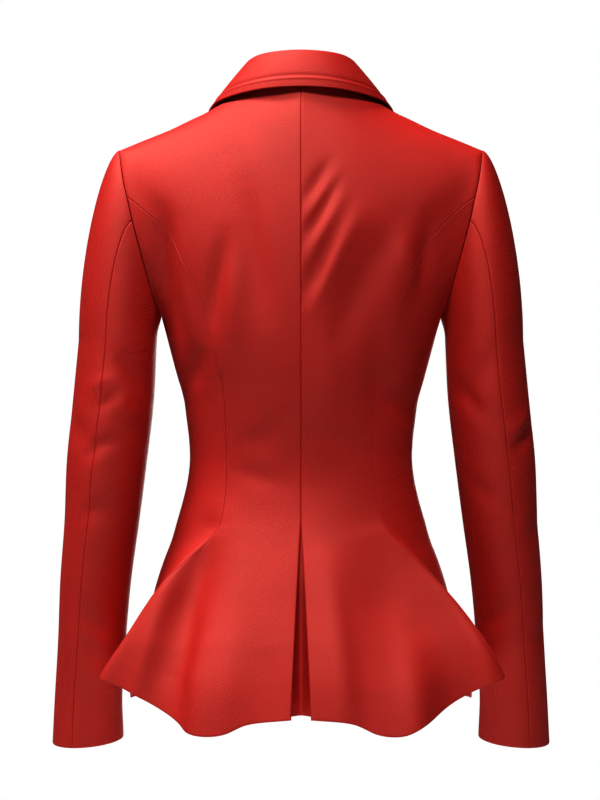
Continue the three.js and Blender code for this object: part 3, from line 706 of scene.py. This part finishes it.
def body_panel(name, side_name):
    half, columns, (first, last) = PANELS[name]
    side = SIDES[side_name]
    across, up = columns[None, :], UPS[:, None]
    points = half.point(across, up)
    if name == "back":
        points = eased(points, smooth(*EASE_HIGH, up) * smooth(*EASE_LOW, up))
        opened = np.clip(1 - across / PLEAT_SHARE, 0, 1)
        points[..., 0] += pleat_half_width(points[..., 2]) * opened
    normals = grid_normals(points, -half.facing)
    if name == "front" and side_name == "left":
        points = points - normals * underlap(points)[..., None]
    points, normals = mirrored(points, side), mirrored(normals, side)
    if half is BACK:
        creases = BACK_LEFT_CREASES if side > 0 else BACK_RIGHT_CREASES
    else:
        creases = FRONT_CREASES
    fade = smooth(0, TOP_FADE, 3 - up)
    if half is FRONT:
        fade = fade * smooth(0, CENTRE_FADE, across)
    # the folds of the peplum end at the flare's edge, so that its far side hangs plain
    fade = fade * (1 - smooth(*FLARE_FADE, across) * smooth(*FLARE_FADE_Z, points[..., 2]))
    points = points + normals * (all_creases(points, creases) * fade)[..., None]
    make_room(points, first is SEAM)
    piece = shell(f"{name}_{side_name}_cloth", points, normals, (first, last, FREE, SEAM))
    declare(piece, f"{name}_{side_name}", points)


# Sleeves
sleeve_x, sleeve_y, sleeve_width, sleeve_depth = (along(SLEEVE, k) for k in (1, 2, 3, 4))
sleeve_back_seam = along(SLEEVE_BACK_SEAM, 1)
BICEPS_Z, CUFF_Z = SLEEVE[-1, 0], SLEEVE[0, 0]
CUFF_TILT, CUFF_INNER_RISE, CUFF_SHARE = 4.0, 6.0, 0.25
# how the cap leaves the armhole under the arm and at its top: across, up, share of the reach
CAP_ACROSS, CAP_UP, CAP_REACH = (0.1, 1), (-1, -0.25), (0.3, 0.08)
CAP_TURN, RING_REACH = 0.35, 0.47
CAP_FADE, CUFF_FADE = (2, 1.9), (0, 0.04)


def sleeve_point(degrees, up):
    cosine, sine = np.cos(np.radians(degrees)), np.sin(np.radians(degrees))
    low = np.clip(up, 0, 1) + 0 * degrees
    z = mix(CUFF_Z, BICEPS_Z, low)
    tilt = CUFF_INNER_RISE * (1 - cosine) / 2 - CUFF_TILT * sine
    ring = stack(
        sleeve_x(z) + sleeve_width(z) * cosine,
        sleeve_y(z) + sleeve_depth(z) * sine,
        z + tilt * np.maximum(0, 1 - low / CUFF_SHARE),
    )
    start = armhole(degrees)
    reach = np.linalg.norm(start - ring, axis=-1, keepdims=True)
    high = (1 + cosine) / 2
    leave = unit(stack(mix(*CAP_ACROSS, high), CAP_TURN * sine, mix(*CAP_UP, high)))
    near_start = start + leave * reach * mix(*CAP_REACH, np.sqrt(high))[..., None]
    near_ring = ring + reach * RING_REACH * np.array([0, 0, 1])
    t = np.clip(up - 1, 0, 1)[..., None]
    return (
        ring * (1 - t) ** 3
        + near_ring * 3 * t * (1 - t) ** 2
        + near_start * 3 * t**2 * (1 - t)
        + start * t**3
    )


SLEEVE_UPS = spaced([0, 1, 2], [110, 56])
TOP_SLEEVE_COLUMNS, UNDER_SLEEVE_COLUMNS = 56, 44


def sleeve_piece(name, side_name):
    side = SIDES[side_name]
    up = SLEEVE_UPS[:, None]
    back = sleeve_back_seam(up)
    if name == "top_sleeve":
        start, end, count = SLEEVE_FRONT_SEAM - 360, back, TOP_SLEEVE_COLUMNS
    else:
        start, end, count = back, SLEEVE_FRONT_SEAM, UNDER_SLEEVE_COLUMNS
    degrees = mix(start, end, np.linspace(0, 1, count + 1)[None, :])
    points = sleeve_point(degrees, up + 0 * degrees)
    a, b = np.gradient(points, axis=0), np.gradient(points, axis=1)
    normals = unit(np.cross(b, a))
    flat = stack((degrees % 360) * DEGREE_MM, 0 * degrees, points[..., 2])
    creases = SLEEVE_LEFT_CREASES if side > 0 else SLEEVE_RIGHT_CREASES
    scaled = [([(d * DEGREE_MM, z) for d, z in line], w, h) for line, w, h in creases]
    fade = smooth(*CAP_FADE, up) * smooth(*CUFF_FADE, up)
    points = points + normals * (all_creases(flat, scaled) * fade)[..., None]
    points, normals = mirrored(points, side), mirrored(normals, side)
    make_room(points)
    piece = shell(f"{name}_{side_name}_cloth", points, normals, (SEAM, SEAM, FREE, SEAM))
    declare(piece, f"{name}_{side_name}", points)


# Collar
COLLAR_ROLL = [along(COLLAR, k) for k in (1, 2, 3)]
COLLAR_EDGE = [along(COLLAR, k) for k in (4, 5, 6)]
COLLAR_ROWS, STAND_COLUMNS, FOLD_COLUMNS, FALL_COLUMNS = 76, 14, 9, 44
COLLAR_EASING = 24
STAND_LIFT, FALL_BELLY = 0.6, 3.0
STITCH_INSET = 9.0
# the groove of the stitches and the ridge above it: height, half width, and the ridge's distance
GROOVE, RIDGE, RIDGE_AWAY = (-0.55, 1.1), (0.55, 1.8), 3.2
# small steps along the curves, for their directions, and a place just below the top edge
STEP, NECK_STEP, ROLL_STEP = 0.004, 0.01, 0.02
BELOW_EDGE = 2.985


def curve_at(curves, value):
    return np.array([float(c(value)) for c in curves])


def neck_place(reach):
    if reach <= COLLAR_SIDE_NECK:
        half, across = BACK, reach / COLLAR_SIDE_NECK * BACK_NECK_END
    else:
        t = (reach - COLLAR_SIDE_NECK) / (1 - COLLAR_SIDE_NECK)
        half, across = FRONT, mix(FRONT_NECK_END, FRONT_ROLL_END, t)
    place = half.edge(np.array([across]))[0]
    before, after = max(across - STEP, 0), across + STEP
    right = unit(half.point(after, BELOW_EDGE) - half.point(before, BELOW_EDGE))
    upward = half.point(across, BELOW_EDGE + STEP) - half.point(across, BELOW_EDGE - STEP)
    out = unit(np.cross(right, unit(upward))) * -half.facing
    return place, out.reshape(3)


def collar_section(reach):
    """The middle of the cloth from the neck seam over the roll to the fall's edge."""
    place, out = neck_place(reach)
    before, _ = neck_place(max(reach - NECK_STEP, 0))
    after, _ = neck_place(min(reach + NECK_STEP, 1))
    inward = unit(np.cross(after - before, out))
    if inward[0] > 0.01 or (reach < 0.2 and inward[2] < 0):
        inward = -inward
    roll, edge = curve_at(COLLAR_ROLL, reach), curve_at(COLLAR_EDGE, reach)
    seat = place - out * CLOTH / 2 + inward * STAND_LIFT
    ahead = curve_at(COLLAR_ROLL, min(reach + ROLL_STEP, 1))
    tangent = unit(ahead - curve_at(COLLAR_ROLL, max(reach - ROLL_STEP, 0)))
    away = edge - roll - tangent * (edge - roll).dot(tangent)
    low = seat - roll - tangent * (seat - roll).dot(tangent)
    down = unit(unit(away) + unit(low))
    side = unit(away - down * away.dot(down))
    centre = roll + down * FOLD_RADIUS
    turn = np.radians(np.linspace(180, 0, FOLD_COLUMNS))[:, None]
    fold = centre + side * FOLD_RADIUS * np.cos(turn) - down * FOLD_RADIUS * np.sin(turn)
    t = np.linspace(0, 1, STAND_COLUMNS, endpoint=False)[:, None]
    stand = seat + (fold[0] - seat) * t
    middle = (fold[-1] + edge) / 2 + side * FALL_BELLY
    t = np.linspace(0, 1, FALL_COLUMNS + 1)[1:, None]
    fall = fold[-1] * (1 - t) ** 2 + middle * 2 * t * (1 - t) + edge * t**2
    return np.concatenate([stand, fold, fall])


def collar():
    half = np.array([collar_section(reach) for reach in np.linspace(0, 1, COLLAR_ROWS)])
    grid = np.concatenate([(half[1:] * [-1, 1, 1])[::-1], half])
    for _ in range(COLLAR_EASING):
        grid[1:-1] = (grid[:-2] + 2 * grid[1:-1] + grid[2:]) / 4
    normals = unit(np.cross(np.gradient(grid, axis=1), np.gradient(grid, axis=0)))
    # a soft groove where the edge is stitched down, and the fold that stands above it
    to_edge = np.linalg.norm(np.diff(grid, axis=1), axis=-1)
    from_edge = np.cumsum(to_edge[:, ::-1], axis=1)[:, ::-1]
    from_edge = np.concatenate([from_edge, np.zeros((len(grid), 1))], axis=1)
    relief = np.zeros(from_edge.shape)
    for (rise, half_span), away in ((GROOVE, STITCH_INSET), (RIDGE, STITCH_INSET + RIDGE_AWAY)):
        relief += rise * np.exp(-(((from_edge - away) / half_span) ** 2))
    relief[:, : STAND_COLUMNS + FOLD_COLUMNS + 1] = 0
    outer = grid + normals * (CLOTH / 2 + relief)[..., None]
    piece = shell("collar_cloth", outer, normals, (PLAIN, FREE, FREE, FREE))
    declare(piece, "collar", grid)
    return outer, normals


# Lapels
LAPEL_LIFT = 2.6
LAPEL_BELLY = 7.0
LAPEL_RISE = 2.5
LAPEL_ROWS, LAPEL_COLUMNS = 90, 48
LAPEL_STARTS = {"left": 0.21, "right": 0.02}
# from where to where along a lapel it comes free, and how its rise is drawn toward the roll
LAPEL_FREE = {"left": (0.2, 0.5), "right": (0, 0.3)}
ROLL_SIDE, ROLL_CLEARANCE = 1.3, 0.6


def front_at(x, z):
    """Points and normals of the front's surface at places (x, z) of the upper front."""

    def height(across):
        top = FRONT.edge(across)[..., 2]
        return 2 + np.clip((z - CHEST_Z) / (top - CHEST_Z), 0, 1)

    def is_before(across):
        return FRONT.point(across, height(across))[..., 0] < x

    across = bisect(np.zeros_like(x), np.full_like(x, 2.0), is_before)
    up = np.minimum(height(across), BELOW_EDGE)
    before, after = np.maximum(across - STEP, 0), np.minimum(across + STEP, 2)
    right = FRONT.point(after, up) - FRONT.point(before, up)
    upward = FRONT.point(across, up + STEP) - FRONT.point(across, up - STEP)
    return FRONT.point(across, up), unit(np.cross(right, upward))


def lapel(side_name):
    side = SIDES[side_name]
    t = mix(LAPEL_STARTS[side_name], 1, np.linspace(0, 1, LAPEL_ROWS))[:, None]
    c = np.linspace(0, 1, LAPEL_COLUMNS)[None, :]
    roll_x, roll_z = mix(-LAP, GORGE_X, t), mix(BREAK_Z, GORGE_Z, t)
    free_x = mix(-LAP, LAPEL_TIP_X, t) + LAPEL_BELLY * np.sin(math.pi * t)
    free_z = mix(BREAK_Z, LAPEL_TIP_Z, t)
    x, z = mix(roll_x, free_x, c), mix(roll_z, free_z, c)
    points, normals = front_at(x + ROLL_CLEARANCE, z)
    free = smooth(*LAPEL_FREE[side_name], t)
    lift = LAPEL_LIFT + LAPEL_RISE * np.sin(math.pi * np.minimum(1, c * ROLL_SIDE)) * free
    if side > 0:
        lift = lift - underlap(points)
    points = points + normals * (lift + CLOTH)[..., None]
    points, normals = mirrored(points, side), mirrored(normals, side)
    piece = shell(f"lapel_{side_name}_cloth", points, normals, (FREE, FREE, FREE, FREE))
    declare(piece, f"lapel_{side_name}", points)
    return points, normals


# Pleat
RETURN_DEPTH = CLOTH + 1
UNDERLAY_DEPTH = RETURN_DEPTH + CLOTH + 0.4
PLEAT_ROWS, RETURN_COLUMNS, UNDERLAY_COLUMNS = 60, 16, 40
PLEAT_LOW_Z, PLEAT_HIGH_Z = BACK_HEM[0, 1] + 1, PLEAT_TOP_Z - 6


def behind_back(x, z, depth):
    """Points behind the back panels, a depth below their outer face."""

    def is_before(across):
        return BACK.section(across, z)[..., 0] < np.abs(x)

    across = bisect(np.zeros_like(x), np.ones_like(x), is_before)
    return stack(x, BACK.section(across, z)[..., 1] - depth, z)


# how far the underlay's middle sinks into the coat at the hem, and how the folds roll inward
UNDERLAY_SINK, SINK_MARGIN = 32.0, 12.0
FOLD_ROLL, FOLD_ROLL_WIDTH = 1.15, 2.2


def pleat_strip(name, low_x, high_x, count, depth):
    z = np.linspace(PLEAT_LOW_Z, PLEAT_HIGH_Z, PLEAT_ROWS)[:, None]
    x = mix(low_x(z), high_x(z), np.linspace(0, 1, count)[None, :])
    edge = pleat_half_width(z)
    if name == "pleat_underlay":
        sink = UNDERLAY_SINK * smooth(PLEAT_TOP_Z, BACK_HEM[0, 1], z)
        depth = depth + sink * np.clip(1 - np.abs(x) / (edge + SINK_MARGIN), 0, 1)
    else:
        past = (np.abs(x) - edge) / FOLD_ROLL_WIDTH
        depth = depth - FOLD_ROLL * np.exp(-(past**2))
    points = behind_back(x, z + 0 * x, depth)
    normals = grid_normals(points, -1)
    piece = shell(f"{name}_cloth", points, normals, (FREE, FREE, FREE, PLAIN))
    declare(piece, name, points)


# Buttons
def lathe(profile, count):
    """A turned solid about +Z from (radius, height) pairs that start and end on the axis."""
    turn = np.linspace(0, 2 * math.pi, count, endpoint=False)
    rings = [stack(r * np.cos(turn), r * np.sin(turn), 0 * turn + h) for r, h in profile[1:-1]]
    vertices = np.concatenate([[[0, 0, profile[0][1]]], *rings, [[0, 0, profile[-1][1]]]])
    faces = []
    last = len(vertices) - 1
    for k in range(count):
        nxt = (k + 1) % count
        faces.append((0, 1 + nxt, 1 + k))
        for ring in range(len(rings) - 1):
            a, b = 1 + ring * count, 1 + (ring + 1) * count
            faces.append((a + k, a + nxt, b + nxt, b + k))
        end = 1 + (len(rings) - 1) * count
        faces.append((end + k, end + nxt, last))
    return vertices, faces


def small_piece(name, vertices, faces, material, sharpness=40):
    piece = mesh_object(name, vertices, faces, sharpness)
    piece.data.materials.append(material)
    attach(piece, "root")
    return piece


BUTTON_PROFILE = [
    (0, 0),
    (8.6, 0),
    (9.6, 0.5),
    (10, 1.4),
    (10, 3.0),
    (9.7, 3.7),
    (9.1, 4.0),
    (8.3, 3.95),
    (7.6, 3.5),
    (7.0, 3.1),
    (5.5, 2.85),
    (0, 2.75),
]
BUTTON_SIDES, HOLE_SIDES = 64, 20
HOLE_RADIUS, HOLE_SPACING = 0.95, 1.75
HOLE_SHADOW_PROFILE = [(0, 2.72), (HOLE_RADIUS, 2.86), (0.01, 2.9), (0, 2.9)]
# a thread from hole to hole: share of the way, height
THREAD_PATH = table((0, 2.7), (0.2, 3.3), (0.5, 3.6), (0.8, 3.3), (1, 2.7))
THREAD_RADIUS = 0.42
SEAT_DEPTH, SLOPE_SPAN = 0.6, 5.0


def button_frame(z):
    """A button's seat on the front, with its directions right, up and out."""
    slope = (FRONT.depth(z + SLOPE_SPAN) - FRONT.depth(z - SLOPE_SPAN)) / (2 * SLOPE_SPAN)
    out = unit(np.array([0.0, -1.0, -slope]))
    seat = np.array([0.0, -float(FRONT.depth(z)) - SEAT_DEPTH, z])
    right = np.array([1.0, 0.0, 0.0])
    return seat, right, np.cross(out, right), out


def placed(points, seat, right, upward, out):
    points = np.asarray(points, float)
    return seat + points[:, :1] * right + points[:, 1:2] * upward + points[:, 2:] * out


def button(name, z):
    where = button_frame(z)
    vertices, faces = lathe(BUTTON_PROFILE, BUTTON_SIDES)
    disc = small_piece(f"{name}_disc", placed(vertices, *where), faces, BUTTON)
    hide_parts(name)
    corners = [(i, j, 0) for i in (-1, 1) for j in (-1, 1)]
    holes = np.array(corners) * HOLE_SPACING
    # the four holes are thin near-black discs on the button's top: painted shadow standing for the
    # holes' dark insides, not holes cut through
    ring, ring_faces = lathe(HOLE_SHADOW_PROFILE, HOLE_SIDES)
    vertices = np.concatenate([ring + hole for hole in holes])
    faces = [tuple(k * len(ring) + i for i in face) for k in range(4) for face in ring_faces]
    small_piece(f"{name}_hole_shadows", placed(vertices, *where), faces, HOLE_SHADOW)
    strands = []
    for a, b in ((holes[0], holes[3]), (holes[1], holes[2])):
        line = mix(a, b, THREAD_PATH[:, :1]) + THREAD_PATH[:, 1:] * [0, 0, 1]
        strands.append(placed(line, *where))
    tubes(f"{name}_thread", strands, THREAD_RADIUS)


THREAD_SIDES, THREAD_END, THREAD_SHARPNESS = 6, 0.55, 80
# a direction that no thread runs along, to turn its round sections from
HELPER = np.array([0.13, 0.31, 0.94])


def tubes(name, lines, radius):
    """Short threads along lines of points, as one joined mesh with closed round ends."""
    vertices, faces = [], []
    sides = THREAD_SIDES
    for line in lines:
        tangent = unit(np.gradient(line, axis=0))
        a = unit(np.cross(tangent, HELPER))
        b = np.cross(tangent, a)
        turn = np.linspace(0, 2 * math.pi, sides, endpoint=False)
        start = len(vertices)
        for k, point in enumerate(line):
            r = radius * (THREAD_END if k in (0, len(line) - 1) else 1)
            for angle in turn:
                vertices.append(point + r * (a[k] * math.cos(angle) + b[k] * math.sin(angle)))
        for k in range(len(line) - 1):
            for s in range(sides):
                n = (s + 1) % sides
                i = start + k * sides
                faces.append((i + s, i + n, i + sides + n, i + sides + s))
        faces.append(tuple(start + s for s in reversed(range(sides))))
        end = start + (len(line) - 1) * sides
        faces.append(tuple(end + s for s in range(sides)))
    small_piece(name, vertices, faces, THREAD, THREAD_SHARPNESS)


# Stitching
STITCH_LENGTH, STITCH_PITCH, STITCH_RADIUS = 2.3, 3.5, 0.42
STITCH_START = 0.15
STITCH_HEIGHTS = table(-0.35, 0.25, 0.35, 0.25, -0.35)[:, None]


def stitches(name, path, normals):
    """A row of separate stitches that dip into the cloth at their ends."""
    lengths = np.linalg.norm(np.diff(path, axis=0), axis=1)
    place = np.concatenate([[0], np.cumsum(lengths)])
    count = int(place[-1] / STITCH_PITCH)
    lines = []
    for k in range(count):
        start = (k + STITCH_START) * place[-1] / count
        at = start + np.linspace(0, 1, len(STITCH_HEIGHTS)) * STITCH_LENGTH
        point = np.stack([np.interp(at, place, path[:, i]) for i in range(3)], 1)
        out = unit(np.stack([np.interp(at, place, normals[:, i]) for i in range(3)], 1))
        lines.append(point + out * STITCH_HEIGHTS)
    tubes(name, lines, STITCH_RADIUS)


def inset_path(outer, normals):
    """The line on a piece one stitch inset in from its last column, where it is wide enough."""
    path, out = [], []
    for points, normal in zip(outer[:, ::-1], normals[:, ::-1]):
        place = np.concatenate([[0], np.cumsum(np.linalg.norm(np.diff(points, axis=0), axis=1))])
        if place[-1] > 2 * STITCH_INSET:
            path.append([np.interp(STITCH_INSET, place, points[:, i]) for i in range(3)])
            out.append([np.interp(STITCH_INSET, place, normal[:, i]) for i in range(3)])
    return np.array(path), np.array(out)


# Materials
SETTINGS = {"operation", "blend_type", "data_type"}


def add_node(tree, kind, *values, **inputs):
    """A node with values or other nodes' outputs at its first sockets and at its named ones."""
    made = tree.nodes.new(kind)
    pairs = list(zip(made.inputs, values))
    for name, value in inputs.items():
        if name in SETTINGS:
            setattr(made, name, value)
        else:
            pairs.append((made.inputs[name.replace("_", " ")], value))
    for socket, value in pairs:
        if isinstance(value, bpy.types.NodeSocket):
            tree.links.new(value, socket)
        else:
            socket.default_value = value
    return made


def new_material(name):
    made = bpy.data.materials.new(name)
    made.use_nodes = True
    return made, made.node_tree, made.node_tree.nodes["Principled BSDF"]


def dyed(tree, colour, factor, low, dark, high, light):
    """The colour, darker where a factor is low and lighter where it is high."""
    ramp = add_node(tree, "ShaderNodeValToRGB", factor)
    for element, place, share in zip(ramp.color_ramp.elements, (low, high), (dark, light)):
        element.position = place
        element.color = (*[min(1, c * share) for c in colour], 1)
    return ramp.outputs["Color"]


NAP_ROUGHNESS = (0.56, 0.74)
RIB_SHARE, RIB_BEND, RIB_TURN = 0.6, (0.00025, 0.00025, 0.00025), (0, 0.75, 0.4)
BETWEEN_THREADS, GRAIN_SHARE = 0.72, 0.35


def wool_material(name, red, bump):
    """Fine wool crepe: a tight, slightly irregular twill with a soft nap and uneven dye."""
    made, tree, shader = new_material(name)
    link = tree.links.new
    place = tree.nodes.new("ShaderNodeTexCoord").outputs["Object"]
    # twill ribs about 2 mm apart, bent by a little noise, under a finer nap
    bend = add_node(tree, "ShaderNodeTexNoise", place, Scale=900.0, Detail=2.0).outputs["Color"]
    shift = add_node(tree, "ShaderNodeVectorMath", bend, RIB_BEND, place, operation="MULTIPLY_ADD")
    turned = add_node(tree, "ShaderNodeMapping", shift.outputs[0], Rotation=RIB_TURN)
    ribs = {"Scale": 150.0, "Distortion": 0.6, "Detail": 1.0}
    twill = add_node(tree, "ShaderNodeTexWave", turned.outputs[0], **ribs).outputs["Fac"]
    weave = add_node(tree, "ShaderNodeMath", twill, RIB_SHARE, operation="MULTIPLY")
    fuzz = {"Scale": 2600.0, "Detail": 2.0, "Roughness": 0.6}
    nap = add_node(tree, "ShaderNodeTexNoise", place, **fuzz).outputs["Fac"]
    height = add_node(tree, "ShaderNodeMath", weave.outputs[0], nap, operation="ADD").outputs[0]
    relief = add_node(tree, "ShaderNodeBump", Strength=bump, Distance=0.00045, Height=height)
    drift = {"Scale": 11.0, "Detail": 4.0, "Roughness": 0.6}
    cloud = add_node(tree, "ShaderNodeTexNoise", place, **drift).outputs["Fac"]
    waves = {"Height": cloud, "Normal": relief.outputs[0]}
    uneven = add_node(tree, "ShaderNodeBump", Strength=0.12, Distance=0.002, **waves)
    link(uneven.outputs[0], shader.inputs["Normal"])
    # colour: darker between threads, with a faint drift over the piece
    colour = dyed(tree, red, cloud, 0.25, 0.86, 0.8, 1.06)
    grain = add_node(tree, "ShaderNodeMapRange", nap, To_Min=BETWEEN_THREADS).outputs[0]
    dark = add_node(tree, "ShaderNodeMix", data_type="RGBA", blend_type="MULTIPLY",
                    Factor=GRAIN_SHARE, A=colour, B=grain)
    link(dark.outputs["Result"], shader.inputs["Base Color"])
    low, high = NAP_ROUGHNESS
    rough = add_node(tree, "ShaderNodeMapRange", nap, To_Min=low, To_Max=high)
    link(rough.outputs[0], shader.inputs["Roughness"])
    shader.inputs["Specular IOR Level"].default_value = 1.0
    shader.inputs["Specular Tint"].default_value = (1.0, 0.7, 0.58, 1)
    shader.inputs["Sheen Weight"].default_value = 0.01
    shader.inputs["Sheen Roughness"].default_value = 0.4
    shader.inputs["Sheen Tint"].default_value = (1.0, 0.42, 0.32, 1)
    return made


def plastic_material(name, colour, roughness):
    """Cast button plastic with a faint swirl."""
    made, tree, shader = new_material(name)
    link = tree.links.new
    place = tree.nodes.new("ShaderNodeTexCoord").outputs["Object"]
    flow = {"Scale": 160.0, "Detail": 4.0, "Distortion": 1.6}
    swirl = add_node(tree, "ShaderNodeTexNoise", place, **flow).outputs["Fac"]
    link(dyed(tree, colour, swirl, 0.35, 0.7, 0.7, 1.25), shader.inputs["Base Color"])
    wear = add_node(tree, "ShaderNodeBump", Strength=0.1, Distance=0.0003, Height=swirl)
    link(wear.outputs[0], shader.inputs["Normal"])
    shader.inputs["Roughness"].default_value = roughness
    return made


WOOL = wool_material("wool_crepe", (0.56, 0.005, 0.0025), 0.55)
THREAD = wool_material("wool_thread", (0.34, 0.004, 0.002), 0.15)
BUTTON = plastic_material("button_plastic", (0.3, 0.016, 0.013), 0.32)
# near-black plastic for the discs in the button holes: painted shadow of the holes' insides, not a
# colour of the button
HOLE_SHADOW = plastic_material("button_hole_shadow", (0.02, 0.003, 0.003), 0.8)


# how many rows of the collar its stitches stay away from each front corner
COLLAR_CORNER = 6


def build_coat():
    for side_name in SIDES:
        for name in PANELS:
            body_panel(name, side_name)
        for name in ("top_sleeve", "under_sleeve"):
            sleeve_piece(name, side_name)
    path, out = inset_path(*collar())
    middle = slice(COLLAR_CORNER, -COLLAR_CORNER)
    stitches("collar_topstitch", path[middle], out[middle])
    for side_name in SIDES:
        path, out = inset_path(*lapel(side_name))
        stitches(f"lapel_{side_name}_topstitch", path, out)

    edge = pleat_half_width

    def end(z):
        return edge(z) + PLEAT_DEPTH

    returns = {"left": (edge, end), "right": (lambda z: -end(z), lambda z: -edge(z))}
    for side_name, limits in returns.items():
        pleat_strip(f"pleat_return_{side_name}", *limits, RETURN_COLUMNS, RETURN_DEPTH)
    underlay = (lambda z: -end(z), end)
    pleat_strip("pleat_underlay", *underlay, UNDERLAY_COLUMNS, UNDERLAY_DEPTH)
    for name, z in BUTTONS.items():
        button(name, z)


def set_camera():
    camera = bpy.data.objects.new("camera", bpy.data.cameras.new("camera"))
    camera.location = (CAMERA_X * M, CAMERA_DISTANCE * M, CAMERA_Z * M)
    camera.rotation_euler = (math.radians(90), 0, math.radians(180))
    camera.data.sensor_width = SENSOR
    camera.data.lens = SENSOR * CAMERA_DISTANCE / (IMAGE_HEIGHT * MM_PER_PIXEL)
    bpy.context.scene.collection.objects.link(camera)
    bpy.context.scene.camera = camera


FLOOR_Z, FLOOR_SIZE = -1.36, 1.6
LIT_PLACE = (0, 0, -0.3)
# each light's place, diameter and power
LIGHTS = {
    "key_light": ((1.5, 0.35, 2.6), 0.8, 125),
    "top_light": ((0.2, 2.0, 3.0), 0.9, 142),
    "back_fill": ((0.4, 3.2, 0.6), 1.2, 3),
    "front_light": ((-0.3, -2.9, -0.1), 1.3, 70),
}
SURROUND, FILL = 1.0, 0.025
GAMMA = 0.76


def area_light(name, place, size, power):
    light = bpy.data.lights.new(name, "AREA")
    light.shape = "DISK"
    light.size = size
    light.energy = power
    lamp = bpy.data.objects.new(name, light)
    lamp.location = place
    direction = np.array(LIT_PLACE) - np.array(place)
    lamp.rotation_euler = Vector(direction).to_track_quat("-Z", "Y").to_euler()
    bpy.context.scene.collection.objects.link(lamp)


def set_stage():
    """A pale floor under a standing wearer's feet, a white surround and soft studio light."""
    mesh = bpy.data.meshes.new("floor")
    signs = ((-1, -1), (1, -1), (1, 1), (-1, 1))
    corners = [(x * FLOOR_SIZE, y * FLOOR_SIZE, FLOOR_Z) for x, y in signs]
    mesh.from_pydata(corners, [], [(0, 1, 2, 3)])
    floor = bpy.data.objects.new("floor", mesh)
    pale, _, shader = new_material("floor_paint")
    shader.inputs["Base Color"].default_value = (0.86, 0.86, 0.85, 1)
    shader.inputs["Roughness"].default_value = 0.9
    mesh.materials.append(pale)
    bpy.context.scene.collection.objects.link(floor)
    world = bpy.data.worlds.new("white_surround")
    bpy.context.scene.world = world
    world.use_nodes = True
    tree = world.node_tree
    tree.nodes.clear()
    output = tree.nodes.new("ShaderNodeOutputWorld")
    seen, fill = (tree.nodes.new("ShaderNodeBackground") for _ in range(2))
    seen.inputs["Strength"].default_value = SURROUND
    fill.inputs["Strength"].default_value = FILL
    for background in (seen, fill):
        background.inputs["Color"].default_value = (1, 1, 1, 1)
    ray = tree.nodes.new("ShaderNodeLightPath")
    blend = tree.nodes.new("ShaderNodeMixShader")
    tree.links.new(ray.outputs["Is Camera Ray"], blend.inputs[0])
    tree.links.new(fill.outputs[0], blend.inputs[1])
    tree.links.new(seen.outputs[0], blend.inputs[2])
    tree.links.new(blend.outputs[0], output.inputs["Surface"])
    for name, (place, size, power) in LIGHTS.items():
        area_light(name, place, size, power)
    view = bpy.context.scene.view_settings
    view.view_transform = "Standard"
    view.look = "None"
    view.gamma = GAMMA


set_camera()
build_coat()
set_stage()
